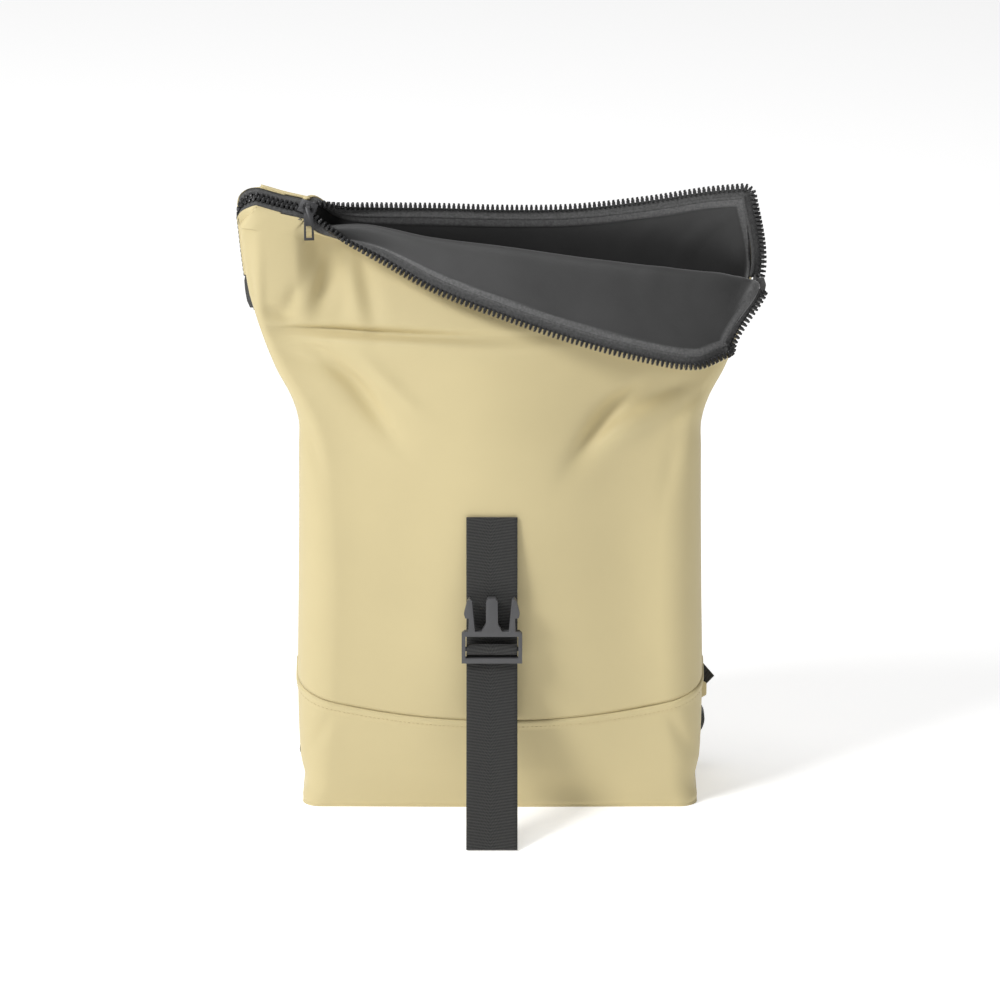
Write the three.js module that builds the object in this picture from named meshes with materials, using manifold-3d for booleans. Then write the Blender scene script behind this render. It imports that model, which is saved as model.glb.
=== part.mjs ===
// A rolltop backpack, unrolled and standing on its base, with its zip open from near the left corner.
// Millimetres. +Z is up, +Y is the back, and +X is to the right of someone who looks at its front.
// The origin is the middle of the underside of the base.
import * as THREE from 'three';
import { mergeVertices } from 'three/addons/utils/BufferGeometryUtils.js';
import Module from 'manifold-3d';

const wasm = await Module();
wasm.setup();

// Driving dimensions of the body
const HEIGHT = 470; // underside to the zip's higher corner
const BASE_WIDTH = 300;
const BASE_DEPTH = 110;
const MOUTH_WIDTH = 386; // the top pressed flat
const MOUTH_CORNER = 14; // radius that the zip turns at a top corner
const SHELL = 1.4; // coated fabric
const LINING = 1.0;
const LINING_GAP = 0.5; // the lining hangs loose inside the fabric
const BASE_PLATE = 3; // stiffened bottom
const SEAM_LOW = 73; // top of the base band at the middle of the front
const SEAM_HIGH = 90; // and at the sides
const CLEAR = 0.3; // between pieces that are sewn or seated together

// Driving dimensions of the zip
const ZIP_END = 400; // height where the zip stops on each side
const TEETH_WIDE = 3.5; // one row
const TEETH_THICK = 4.4;
const TAPE_WIDE = 5; // that shows between the fabric's edge and the teeth
const TAPE_THICK = 1.2;
const TAPE_GAP = 0.95; // from the fabric's edge, under its binding
const SLIDER_LONG = 13;
const SLIDER_WIDE = 11;
const SLIDER_PLATE = 1.4;
const SLIDER_MOUTH = 4.5; // from where the rows part to the slider's open end
const COLUMNS = 28; // upright lines of each panel, and one more in the slider's mouth
const SLIDER_COLUMN = 3; // the one where the two rows part
const PULL_LONG = 24;
const PULL_WIDE = 6.8;
const PULL_THICK = 1.6;
const PULL_LIES = 32; // degrees that it leans out from straight down, on the front panel
const PIVOT_RADIUS = 0.9; // rod of the slider's bridge
const PIVOT_CLEAR = 0.4;
const TAB_LONG = 28;
const TAB_OUT = 9;
const TAB_WIDE = 15; // round the side
const TAB_THICK = 2.6;

// Driving dimensions of the webbing and the buckle
const WEB_WIDE = 38;
const WEB_THICK = 1.6;
const WEB_AT = -6; // middle of the front webbing, from the bag's middle
const STRIP_TOP = 231;
const STRIP_BOW = 7; // how far the front webbing stands off the bag
const BUCKLE_WIDE = 45;
const BUCKLE_LOW = 123; // height of its lower bar
const BUCKLE_FRAME = 25; // its frame's height
const BUCKLE_LONG = 51; // with the prongs
const BUCKLE_THICK = 5;
const BUCKLE_BAR = 4;
const BUCKLE_CHAMFER = 2;
const TAIL_REACH = 86; // how far in front of the bag the loose end touches the ground
const THIN_WEB = 25; // webbing of the shoulder straps
const PAD_WIDE = 58;
const PAD_THICK = 9;
const ADJUSTER_LONG = 12;
const ADJUSTER_WALL = 2.2;
const WING_OUT = 14;
const WING_TALL = 26;
const WING_THICK = 3;
const REAR_TOP = 235;
const REAR_LONG = 95;
const SOCKET_LONG = 48;
const SOCKET_THICK = 11;

const halfWidth = BASE_WIDTH / 2;
const halfDepth = BASE_DEPTH / 2;
const halfMouth = MOUTH_WIDTH / 2;
const SLIDER_AT = (2 * SLIDER_COLUMN) / COLUMNS - 1;
const straightTop = halfMouth - MOUTH_CORNER;
const ZIP_HALF = TEETH_WIDE + TAPE_WIDE + CLEAR; // fabric's edge to the zip's middle line
const BODY_WALL = SHELL + LINING_GAP + LINING;
const WALL_MIDDLE = BODY_WALL / 2;

// Sections of the body. at is a share of the height. width is a share of half the base's width, and the
// other columns are shares of half its depth: middle of the front, middle of the back, corner and its radius.
const SECTIONS = [
  { at: 0.0, width: 1.0, front: 1.0, back: 1.0, edge: 0.98, round: 0.27 },
  { at: 0.034, width: 0.995, front: 1.0, back: 1.0, edge: 0.95, round: 0.34 },
  { at: 0.075, width: 1.04, front: 1.07, back: 1.04, edge: 0.93, round: 0.44 },
  { at: 0.2, width: 1.045, front: 1.1, back: 1.06, edge: 0.88, round: 0.54 },
  { at: 0.34, width: 1.025, front: 1.1, back: 1.05, edge: 0.82, round: 0.57 },
  { at: 0.48, width: 1.01, front: 1.06, back: 1.0, edge: 0.74, round: 0.52 },
  { at: 0.58, width: 1.0, front: 1.0, back: 0.92, edge: 0.62, round: 0.42 },
  { at: 0.62, width: 1.0, front: 0.95, back: 0.86, edge: 0.54, round: 0.34 },
  { at: 0.66, width: 1.035, front: 0.88, back: 0.8, edge: 0.46, round: 0.26 },
  { at: 0.71, width: 1.115, front: 0.81, back: 0.72, edge: 0.38, round: 0.2 },
  { at: 0.775, width: 1.19, front: 0.72, back: 0.62, edge: 0.3, round: 0.12 },
  { at: 0.84, width: 1.245, front: 0.6, back: 0.52, edge: 0.26, round: 0.09 },
  { at: 0.95, width: 1.285, front: 0.5, back: 0.45, edge: 0.24, round: 0.07 },
];

// The mouth, from its left corner to its right. at is a share of half the zip's straight top run. crest is the
// highest line of the front, zip and back are the two tooth rows: Y as shares of half the depth, Z of the height.
// turn and lean are the angles in degrees that each edge has turned forward from upright. slip moves the front
// row sideways and flare its fold, as shares of half the mouth.
const MOUTH = [
  { at: -1.0, crestY: -0.3, crestZ: 0.938, zipY: -0.07, zipZ: 0.982, turn: -45, slip: 0, flare: 0,
    backY: -0.07, backZ: 0.982, lean: 135 },
  { at: -0.9, crestY: -0.31, crestZ: 0.935, zipY: -0.08, zipZ: 0.971, turn: -45, slip: 0, flare: 0,
    backY: -0.08, backZ: 0.971, lean: 135 },
  { at: -0.786, crestY: -0.3, crestZ: 0.927, zipY: -0.08, zipZ: 0.96, turn: -45, slip: 0, flare: 0,
    backY: -0.08, backZ: 0.96, lean: 135 },
  { at: -0.758, crestY: -0.26, crestZ: 0.92, zipY: -0.13, zipZ: 0.953, turn: -42, slip: 0, flare: 0,
    backY: -0.01, backZ: 0.966, lean: 125 },
  { at: -0.7, crestY: -0.08, crestZ: 0.923, zipY: -0.23, zipZ: 0.938, turn: 20, slip: 0, flare: 0,
    backY: 0.06, backZ: 0.966, lean: 75 },
  { at: -0.63, crestY: -0.07, crestZ: 0.93, zipY: -0.33, zipZ: 0.918, turn: 80, slip: 0, flare: 0,
    backY: 0.12, backZ: 0.964, lean: 35 },
  { at: -0.5, crestY: -0.12, crestZ: 0.933, zipY: -0.47, zipZ: 0.893, turn: 120, slip: 0, flare: 0,
    backY: 0.2, backZ: 0.962, lean: 8 },
  { at: -0.27, crestY: -0.27, crestZ: 0.918, zipY: -0.72, zipZ: 0.85, turn: 142, slip: 0, flare: 0,
    backY: 0.31, backZ: 0.958, lean: -3 },
  { at: 0.03, crestY: -0.4, crestZ: 0.906, zipY: -0.94, zipZ: 0.811, turn: 148, slip: 0, flare: 0,
    backY: 0.37, backZ: 0.953, lean: -4 },
  { at: 0.3, crestY: -0.47, crestZ: 0.892, zipY: -1.06, zipZ: 0.779, turn: 150, slip: 0, flare: 0,
    backY: 0.36, backZ: 0.955, lean: -3 },
  { at: 0.6, crestY: -0.45, crestZ: 0.876, zipY: -1.11, zipZ: 0.751, turn: 150, slip: -0.015, flare: 0,
    backY: 0.25, backZ: 0.971, lean: -2 },
  { at: 0.85, crestY: -0.29, crestZ: 0.859, zipY: -1.07, zipZ: 0.737, turn: 146, slip: -0.04, flare: 0.01,
    backY: 0.13, backZ: 0.99, lean: 0 },
  { at: 1.0, crestY: -0.1, crestZ: 0.842, zipY: -0.85, zipZ: 0.749, turn: 138, slip: -0.055, flare: 0.05,
    backY: 0.05, backZ: 0.998, lean: 0 },
];

// Folds and dents of the front. x is a share of half the base's width, z of the height. long and wide are the
// reach along and across the fold, turn is its slope in degrees, and deep is how far it sinks, as shares of
// half the depth.
const FOLDS = [
  { x: -0.62, z: 0.772, long: 1.3, wide: 0.13, turn: 2, deep: 0.07 },
  { x: -0.6, z: 0.748, long: 1.2, wide: 0.14, turn: 2, deep: -0.05 },
  { x: -0.95, z: 0.73, long: 0.5, wide: 0.16, turn: -14, deep: 0.08 },
  { x: -0.68, z: 0.668, long: 0.62, wide: 0.17, turn: -48, deep: 0.08 },
  { x: -0.92, z: 0.862, long: 0.28, wide: 0.24, turn: 70, deep: 0.09 },
  { x: -0.78, z: 0.868, long: 0.7, wide: 0.2, turn: 84, deep: 0.06 },
  { x: 0.45, z: 0.61, long: 0.5, wide: 0.17, turn: 55, deep: 0.1 },
  { x: 0.78, z: 0.668, long: 0.55, wide: 0.17, turn: 20, deep: 0.1 },
  { x: 0.66, z: 0.622, long: 0.55, wide: 0.2, turn: 24, deep: -0.08 },
  { x: -0.4, z: 0.45, long: 1.5, wide: 0.5, turn: 80, deep: 0.04 },
  { x: 0.62, z: 0.4, long: 1.6, wide: 0.5, turn: 96, deep: 0.05 },
];

const V = (x, y, z) => new THREE.Vector3(x, y, z);
const { lerp, smoothstep, degToRad, clamp } = THREE.MathUtils;

// The value of each column of a table at a place along it, on a smooth line through its rows.
function readTable(table, at) {
  const last = table.length - 1;
  let i = 0;
  while (i < last - 1 && at > table[i + 1].at) i += 1;
  const rows = [-1, 0, 1, 2].map((k) => table[clamp(i + k, 0, last)]);
  const t = clamp((at - rows[1].at) / (rows[2].at - rows[1].at), 0, 1);
  const span = rows[2].at - rows[1].at;
  const found = {};
  for (const name of Object.keys(table[0])) {
    const slope = (a, b) => (b.at === a.at ? 0 : ((b[name] - a[name]) / (b.at - a.at)) * span);
    const from = slope(rows[0], rows[2]);
    const to = slope(rows[1], rows[3]);
    const [p, q] = [rows[1][name], rows[2][name]];
    found[name] =
      (2 * t ** 3 - 3 * t ** 2 + 1) * p + (t ** 3 - 2 * t ** 2 + t) * from +
      (-2 * t ** 3 + 3 * t ** 2) * q + (t ** 3 - t ** 2) * to;
  }
  return found;
}

// A point of the body's section at a height. s runs from -1 at the left side line to 1 at the right one.
// side is -1 for the front half and 1 for the back half.
function sectionPoint(s, z, side) {
  const row = readTable(SECTIONS, z / HEIGHT);
  const wide = row.width * halfWidth;
  const middle = (side < 0 ? row.front : row.back) * halfDepth;
  const edge = row.edge * halfDepth;
  const round = row.round * halfDepth;
  const flat = wide - round;
  const along = Math.abs(s) * (flat + (Math.PI / 2) * round + edge - round);
  let x = along;
  let y = edge;
  if (along <= flat) {
    y += (middle - edge) * (1 - (along / flat) ** 2) ** 2;
  } else if (along <= flat + (Math.PI / 2) * round) {
    const angle = (along - flat) / round;
    x = flat + round * Math.sin(angle);
    y = edge - round + round * Math.cos(angle);
  } else {
    x = wide;
    y = edge - round - (along - flat - (Math.PI / 2) * round);
  }
  return V(Math.sign(s) * x, side * y, z);
}

// How far the front's folds and dents sink it at a point.
function foldDepth(x, z) {
  let sunk = 0;
  for (const fold of FOLDS) {
    const turn = degToRad(fold.turn);
    const dx = x - fold.x * halfWidth;
    const dz = z - fold.z * HEIGHT;
    const along = (dx * Math.cos(turn) + dz * Math.sin(turn)) / (fold.long * halfDepth);
    const across = (dz * Math.cos(turn) - dx * Math.sin(turn)) / (fold.wide * halfDepth);
    sunk += fold.deep * halfDepth * Math.exp(-(along ** 2) - across ** 2);
  }
  return sunk;
}

const seamHeight = (s) => SEAM_LOW + (SEAM_HIGH - SEAM_LOW) * Math.abs(s) ** 1.7;
const upTurned = (degrees) => V(0, -Math.sin(degToRad(degrees)), Math.cos(degToRad(degrees)));

// The zip's tooth line at a share of the straight top run.
function zipLine(s, side) {
  const row = readTable(MOUTH, s);
  const x = s * straightTop;
  if (side > 0 && s > SLIDER_AT) return V(x, row.backY * halfDepth, row.backZ * HEIGHT);
  return V(x + row.slip * halfMouth, row.zipY * halfDepth, row.zipZ * HEIGHT);
}

// That line with the way out of the sheet's edge, square to the line, and the outer face of the sheet there.
function mouthEdge(s, side) {
  const row = readTable(MOUTH, s);
  const line = zipLine(s, side);
  const run = zipLine(Math.min(s + 0.01, 1), side).sub(zipLine(Math.max(s - 0.01, -1), side)).normalize();
  const up = side > 0 && s > SLIDER_AT ? upTurned(row.lean) : upTurned(row.turn).multiplyScalar(-side);
  up.addScaledVector(run, -up.dot(run)).normalize();
  const face = run.cross(up).multiplyScalar(-side);
  return { line, up, face };
}

// Share of the half section that the panel fills at a height: its edge leaves room for the zip above its end.
function sideShare(z) {
  const room = lerp(CLEAR / 2, ZIP_HALF, smoothstep(z, ZIP_END - 30, ZIP_END - 8));
  const row = readTable(SECTIONS, z / HEIGHT);
  const long = row.width * halfWidth + (row.edge + (Math.PI / 2 - 2) * row.round) * halfDepth;
  return 1 - room / long;
}

function bezier(a, b, c, d, steps) {
  const curve = new THREE.CubicBezierCurve3(a, b, c, d);
  return curve.getPoints(steps).slice(1);
}

const FRONT_BODY = [0, 0.2, 0.46, 0.65, 0.78, 0.86, 0.93, 1]; // rows from the seam to the crease, as shares
const BACK_BODY = [0, 0.24, 0.5, 0.68, 0.8, 0.9, 1]; // and from the seam to the shoulder
const FRONT_RISE = 4; // rows from the crease to the crest
const FRONT_FALL = 4; // rows from the crest to the zip
const BACK_RISE = 4;
const CREASE = 0.775 * HEIGHT;
const SHOULDER = 0.84 * HEIGHT;

// Points of one upright line of the front sheet, from the band's seam over the crest to the zip.
function frontColumn(s) {
  const rows = FRONT_BODY.map((t) => {
    const z = lerp(seamHeight(s), CREASE, t);
    const p = sectionPoint(s * sideShare(z), z, -1);
    p.y += foldDepth(p.x, z) * (1 - s ** 8);
    return p;
  });
  const row = readTable(MOUTH, s);
  const { line, up, face } = mouthEdge(s, -1);
  const edge = line.clone().addScaledVector(up, -ZIP_HALF).addScaledVector(face, WALL_MIDDLE);
  const side = sectionPoint(s * sideShare(row.crestZ * HEIGHT), row.crestZ * HEIGHT, -1);
  const crest = V(side.x, lerp(row.crestY * halfDepth, side.y, smoothstep(Math.abs(s), 0.93, 1)), side.z);
  const start = rows[rows.length - 1];
  const rise = start.clone().sub(rows[rows.length - 2]).normalize();
  const climb = crest.distanceTo(start) / 3;
  const over = upTurned(row.turn / 2);
  const fall = crest.distanceTo(edge) / 3;
  const swing = V(row.flare * halfMouth, 0, 0);
  const climbing = bezier(start, start.clone().addScaledVector(rise, climb),
    crest.clone().addScaledVector(over, -climb * 0.8), crest, FRONT_RISE);
  rows.push(...climbing.map((p) =>
    p.lerp(sectionPoint(s * sideShare(p.z), p.z, -1), smoothstep(Math.abs(s), 0.9, 1))));
  rows.push(...bezier(crest, crest.clone().addScaledVector(over, fall * 0.8).add(swing),
    edge.clone().addScaledVector(up, -fall).add(swing), edge, FRONT_FALL));
  return rows;
}

// Points of one upright line of the back sheet, from the band's seam to the zip.
function backColumn(s) {
  const rows = BACK_BODY.map((t) => {
    const z = lerp(seamHeight(s), SHOULDER, t);
    return sectionPoint(s * sideShare(z), z, 1);
  });
  const { line, up, face } = mouthEdge(s, 1);
  const edge = line.clone().addScaledVector(up, -ZIP_HALF).addScaledVector(face, WALL_MIDDLE);
  const start = rows[rows.length - 1];
  const rise = start.clone().sub(rows[rows.length - 2]).normalize();
  const climb = edge.distanceTo(start) / 3;
  rows.push(...bezier(start, start.clone().addScaledVector(rise, climb),
    edge.clone().addScaledVector(up, -climb * 0.6), edge, BACK_RISE));
  return rows;
}

// A closed body from a list of triangles and points, turned so that its faces point outward.
function solid(points, faces) {
  let volume = 0;
  for (const [a, b, c] of faces) volume += points[a].dot(points[b].clone().cross(points[c]));
  const geometry = new THREE.BufferGeometry();
  const turned = volume < 0 ? faces.map(([a, b, c]) => [a, c, b]) : faces;
  geometry.setAttribute('position', new THREE.Float32BufferAttribute(points.flatMap((p) => p.toArray()), 3));
  geometry.setIndex(turned.flat());
  geometry.computeVertexNormals();
  return geometry;
}

// The direction of a line of points at one of them. At an open end it is that of a curve through three points.
function direction(line, i, ring) {
  const end = line.length - 1;
  if (ring) return line[(i + 1) % (end + 1)].clone().sub(line[(i + end) % (end + 1)]);
  if (i > 0 && i < end) return line[i + 1].clone().sub(line[i - 1]);
  const [near, far] = i === 0 ? [line[1], line[2]] : [line[end - 1], line[end - 2]];
  const curve = near.clone().multiplyScalar(4).sub(far).addScaledVector(line[i], -3);
  return i === 0 ? curve : curve.negate();
}

// A thin wall on a grid of points, between two distances from it. A ring closes on itself along each row.
function wall(grid, near, far, ring = false) {
  const rows = grid.length;
  const count = grid[0].length;
  const columns = ring ? count : count - 1;
  const next = (i) => (i + 1) % count;
  const normals = grid.map((row, j) => row.map((p, i) =>
    direction(row, i, ring).cross(direction(grid.map((line) => line[i]), j, false)).normalize()));
  const points = [near, far].flatMap((reach) =>
    grid.flatMap((row, j) => row.map((p, i) => p.clone().addScaledVector(normals[j][i], reach))));
  const faces = [];
  const quad = (a, b, c, d) => faces.push([a, b, c], [a, c, d]);
  const id = (layer, j, i) => layer * rows * count + j * count + i;
  for (let i = 0; i < columns; i += 1) {
    for (let j = 0; j < rows - 1; j += 1) {
      quad(id(0, j, i), id(0, j, next(i)), id(0, j + 1, next(i)), id(0, j + 1, i));
      quad(id(1, j, i), id(1, j + 1, i), id(1, j + 1, next(i)), id(1, j, next(i)));
    }
    quad(id(0, 0, i), id(1, 0, i), id(1, 0, next(i)), id(0, 0, next(i)));
    const top = rows - 1;
    quad(id(0, top, i), id(0, top, next(i)), id(1, top, next(i)), id(1, top, i));
  }
  for (let j = 0; j < rows - 1 && !ring; j += 1) {
    quad(id(0, j, 0), id(0, j + 1, 0), id(1, j + 1, 0), id(1, j, 0));
    const end = count - 1;
    quad(id(0, j, end), id(1, j, end), id(1, j + 1, end), id(0, j + 1, end));
  }
  return solid(points, faces);
}

// A solid through a row of closed loops that have the same number of points and flat, convex ends.
function loft(loops) {
  const count = loops[0].length;
  const faces = [];
  for (let j = 0; j < loops.length - 1; j += 1) {
    for (let i = 0; i < count; i += 1) {
      const [a, b] = [j * count + i, j * count + ((i + 1) % count)];
      faces.push([a, b, b + count], [a, b + count, a + count]);
    }
  }
  const end = (loops.length - 1) * count;
  for (let i = 1; i < count - 1; i += 1) {
    faces.push([0, i + 1, i], [end, end + i, end + i + 1]);
  }
  return solid(loops.flat(), faces);
}

// A ribbon along stations that each have a place, a direction across it and one through it.
function ribbon(stations, from, to, low, high) {
  return loft(stations.map(({ at, across, through }) =>
    [[from, low], [to, low], [to, high], [from, high]].map(([a, t]) =>
      at.clone().addScaledVector(across, a).addScaledVector(through, t))));
}

// Stations of a strap that is as wide as its across direction and follows a line of points.
function strapStations(points, across) {
  return points.map((at, i) => {
    const run = direction(points, i, false).normalize();
    const flat = across.clone().addScaledVector(run, -across.dot(run)).normalize();
    return { at, across: flat, through: flat.clone().cross(run).normalize() };
  });
}

const smooth = (points, steps) => new THREE.CatmullRomCurve3(points, false, 'centripetal').getPoints(steps);

const steps = (count) => Array.from({ length: count + 1 }, (_, i) => i / count);
const across = (count) => steps(count).map((t) => 2 * t - 1);
const shares = across(COLUMNS);
shares.splice(SLIDER_COLUMN + 1, 0, SLIDER_AT + SLIDER_MOUTH / straightTop);
const lastColumn = shares.length - 1;
const turnGrid = (columns) => columns[0].map((_, j) => columns.map((column) => column[j]));

const bag = new THREE.Group();
const FABRIC = { color: 0xd9ca9a, roughness: 0.72, metalness: 0 };
const DARK_CLOTH = { color: 0x464646, roughness: 0.9, metalness: 0 };
const TAPE = { color: 0x5e5e5e, roughness: 0.95, metalness: 0 };
const TEETH = { color: 0x141414, roughness: 0.35, metalness: 0 };
const METAL = { color: 0x4c4c4e, roughness: 0.45, metalness: 0.7 };
const WEBBING = { color: 0x2e2e2d, roughness: 0.85, metalness: 0 };
const PLASTIC = { color: 0x5b5b5d, roughness: 0.5, metalness: 0 };

function add(name, geometry, look) {
  const mesh = new THREE.Mesh(geometry, new THREE.MeshStandardMaterial(look));
  mesh.name = name;
  bag.add(mesh);
  return mesh;
}

const MERGED = 0.001; // points nearer than this are one point

// manifold-3d solids for the pieces with holes.
function toManifold(geometry) {
  const bare = geometry.clone();
  bare.deleteAttribute('normal');
  bare.deleteAttribute('uv');
  const merged = mergeVertices(bare, MERGED);
  return new wasm.Manifold(new wasm.Mesh({
    numProp: 3,
    vertProperties: new Float32Array(merged.attributes.position.array),
    triVerts: new Uint32Array(merged.index.array),
  }));
}

function fromManifold(body) {
  const mesh = body.getMesh();
  const geometry = new THREE.BufferGeometry();
  geometry.setAttribute('position', new THREE.BufferAttribute(new Float32Array(mesh.vertProperties), 3));
  geometry.setIndex(new THREE.BufferAttribute(new Uint32Array(mesh.triVerts), 1));
  geometry.computeVertexNormals();
  return geometry;
}

const joinAll = (bodies) => bodies.reduce((whole, body) => whole.add(body));

// The largest part of a body after others are taken out of it.
function cutClear(body, ...others) {
  const largest = (whole) => whole.decompose().sort((a, b) => b.volume() - a.volume())[0];
  const cut = largest(body.subtract(wasm.Manifold.union(others)));
  return largest(toManifold(fromManifold(cut)));
}

const block = (x, y, z, at) => new THREE.BoxGeometry(x, y, z).translate(at.x, at.y, at.z);

// Body panels and their linings. The front's lining is cut clear of the panel where the mouth turns sharply.
const frontGrid = turnGrid(shares.map(frontColumn));
const backGrid = turnGrid([...shares].reverse().map(backColumn));
const sheets = {};
for (const [name, grid] of [['front', frontGrid], ['back', backGrid]]) {
  const panel = toManifold(wall(grid, 0, -SHELL));
  const loose = toManifold(wall(grid, LINING - BODY_WALL, -BODY_WALL));
  const lining = name === 'front' ? cutClear(loose, panel, toManifold(wall(grid, 0, -SHELL - CLEAR))) : loose;
  add(`${name}_panel`, fromManifold(panel), FABRIC);
  add(`lining_${name}`, fromManifold(lining), DARK_CLOTH);
  sheets[name] = [panel, lining, toManifold(wall(grid, 0, -BODY_WALL))];
}

// Base band: a ring from the ground to the curved seam
const halfRing = across(COLUMNS).slice(0, -1);
const ringShares = [...halfRing.map((s) => [s, -1]), ...halfRing.map((s) => [-s, 1])];
const bandGrid = [0, 0.2, 0.45, 1].map((t) =>
  ringShares.map(([s, side]) => sectionPoint(s, t * (seamHeight(s) - CLEAR), side)));
const band = wall(bandGrid, 0, -SHELL, true);
const bandPoints = band.attributes.position;
for (let i = 0; i < bandPoints.count; i += 1) bandPoints.setZ(i, Math.max(0, bandPoints.getZ(i)));
add('base_band', band, FABRIC);

// Stiffened bottom inside the foot of the band
const plateLoops = [0, BASE_PLATE].map((z) => ringShares.map(([s, side]) => {
  const p = sectionPoint(s, z, side);
  const inset = SHELL + 2 * CLEAR;
  return V(p.x * (1 - inset / halfWidth), p.y * (1 - inset / halfDepth), z);
}));
add('base_plate', loft(plateLoops), FABRIC);

// Zip: the closed stretch runs up the left side and along the top to the slider. Each row's stations go from
// the left end, round both corners, to the right end.
function zipStations(side) {
  const top = shares.map((s) => {
    const { line, face } = mouthEdge(s, side);
    return { at: line, face };
  });
  const first = top[0];
  const foot = Math.max(ZIP_END, frontGrid[FRONT_BODY.length + 1][0].z);
  const stations = steps(4).map((t) => {
    const z = lerp(foot, first.at.z - MOUTH_CORNER, t);
    return { at: V(-sectionPoint(1, z, side).x, 0, z), face: V(-1, 0, 0) };
  });
  for (const t of [0.35, 0.7]) {
    const angle = (t * Math.PI) / 2;
    const low = stations[4].at;
    const at = V(low.x + (first.at.x - low.x) * (1 - Math.cos(angle)), first.at.y * t,
      low.z + (first.at.z - low.z) * Math.sin(angle));
    stations.push({ at, face: V(-1, 0, 0).lerp(first.face, t) });
  }
  stations.push(...top);
  const grid = side < 0 ? frontGrid : backGrid;
  const edgeColumn = side < 0 ? lastColumn : 0;
  const inward = side < 0 ? -1 : 1;
  const lowest = grid.length - 1 - (side < 0 ? FRONT_FALL : BACK_RISE);
  for (let j = grid.length - 1; j >= lowest; j -= 1) {
    const edge = grid[j][edgeColumn];
    const above = grid[Math.min(j + 1, grid.length - 1)][edgeColumn];
    const run = above.clone().sub(grid[j - 1][edgeColumn]).normalize();
    const out = edge.clone().sub(grid[j][edgeColumn + inward]);
    out.addScaledVector(run, -out.dot(run)).normalize();
    const face = out.clone().cross(run).multiplyScalar(-side).normalize();
    const middle = edge.clone().addScaledVector(face, -WALL_MIDDLE);
    if (j === grid.length - 1) {
      const lift = mouthEdge(1, side).up;
      for (const t of [0.33, 0.67]) {
        const angle = (t * Math.PI) / 2;
        const reach = lift.clone().multiplyScalar(Math.cos(angle)).addScaledVector(out, Math.sin(angle));
        reach.normalize();
        stations.push({ at: middle.clone().addScaledVector(reach, ZIP_HALF), face, reach });
      }
    }
    const reach = j === grid.length - 1 ? out.clone() : null;
    stations.push({ at: middle.addScaledVector(out, ZIP_HALF), face, reach });
  }
  return stations.map(({ at, face, reach }, i) => {
    if (reach) {
      const through = face.clone().addScaledVector(reach, -face.dot(reach)).normalize();
      return { at, across: reach, through };
    }
    const ahead = stations[Math.min(i + 1, stations.length - 1)].at;
    const behind = stations[Math.max(i - 1, 0)].at;
    const run = ahead.clone().sub(behind).normalize();
    const through = face.clone().addScaledVector(run, -face.dot(run)).normalize();
    return { at, across: through.clone().cross(run).multiplyScalar(-side), through };
  });
}

const zipLines = { front: zipStations(-1), back: zipStations(1) };
for (const [name, stations] of Object.entries(zipLines)) {
  const inner = -TEETH_WIDE - CLEAR / 2;
  add(`zip_tape_${name}`, ribbon(stations, TAPE_GAP - ZIP_HALF, inner - 2 * CLEAR,
    -TAPE_THICK / 2, TAPE_THICK / 2), TAPE);
  add(`zip_teeth_${name}`, ribbon(stations, inner, -CLEAR / 2, -TEETH_THICK / 2, TEETH_THICK / 2), TEETH);
}

// Frame of the closed stretch at the slider: along the zip, across it, and out of the bag.
const sliderStation = zipLines.front[5 + 2 + SLIDER_COLUMN];
const sliderRun = sliderStation.across.clone().cross(sliderStation.through).normalize();
const sliderFrame = new THREE.Matrix4()
  .makeBasis(sliderRun, sliderStation.across, sliderStation.through)
  .setPosition(sliderStation.at);

const PLATE_GAP = TEETH_THICK / 2 + 2 * CLEAR;
const plateMiddle = PLATE_GAP + SLIDER_PLATE / 2;
const POST = 1.8;
const sliderMiddle = SLIDER_MOUTH - SLIDER_LONG / 2;
const EYE_LONG = 3.4;
const EYE_WALL = 0.9;
const eyeRadius = PIVOT_RADIUS + PIVOT_CLEAR + EYE_WALL;
const pivotOut = PLATE_GAP + SLIDER_PLATE + eyeRadius + 2 * CLEAR;
const LUG = 1.6;

// The slider: two plates that hold the rows, a post between the rows on the open side, and a bridge with a rod.
const lugTall = pivotOut - plateMiddle + PIVOT_RADIUS;
const sliderBody = joinAll([
  toManifold(block(SLIDER_LONG, SLIDER_WIDE, SLIDER_PLATE, V(sliderMiddle, 0, plateMiddle))),
  toManifold(block(SLIDER_LONG, SLIDER_WIDE, SLIDER_PLATE, V(sliderMiddle, 0, -plateMiddle))),
  toManifold(block(POST, POST, 2 * plateMiddle, V(SLIDER_MOUTH - POST / 2, 0, 0))),
  ...[-1, 1].map((end) => toManifold(block(LUG, 2.4 * PIVOT_RADIUS, lugTall,
    V(sliderMiddle + end * (EYE_LONG / 2 + PIVOT_CLEAR + LUG / 2), 0, plateMiddle + lugTall / 2)))),
  toManifold(new THREE.CylinderGeometry(PIVOT_RADIUS, PIVOT_RADIUS, EYE_LONG + 2 * PIVOT_CLEAR + LUG, 12)
    .rotateZ(Math.PI / 2).translate(sliderMiddle, 0, pivotOut)),
]);
add('zip_slider', fromManifold(sliderBody).applyMatrix4(sliderFrame), METAL);

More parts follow.
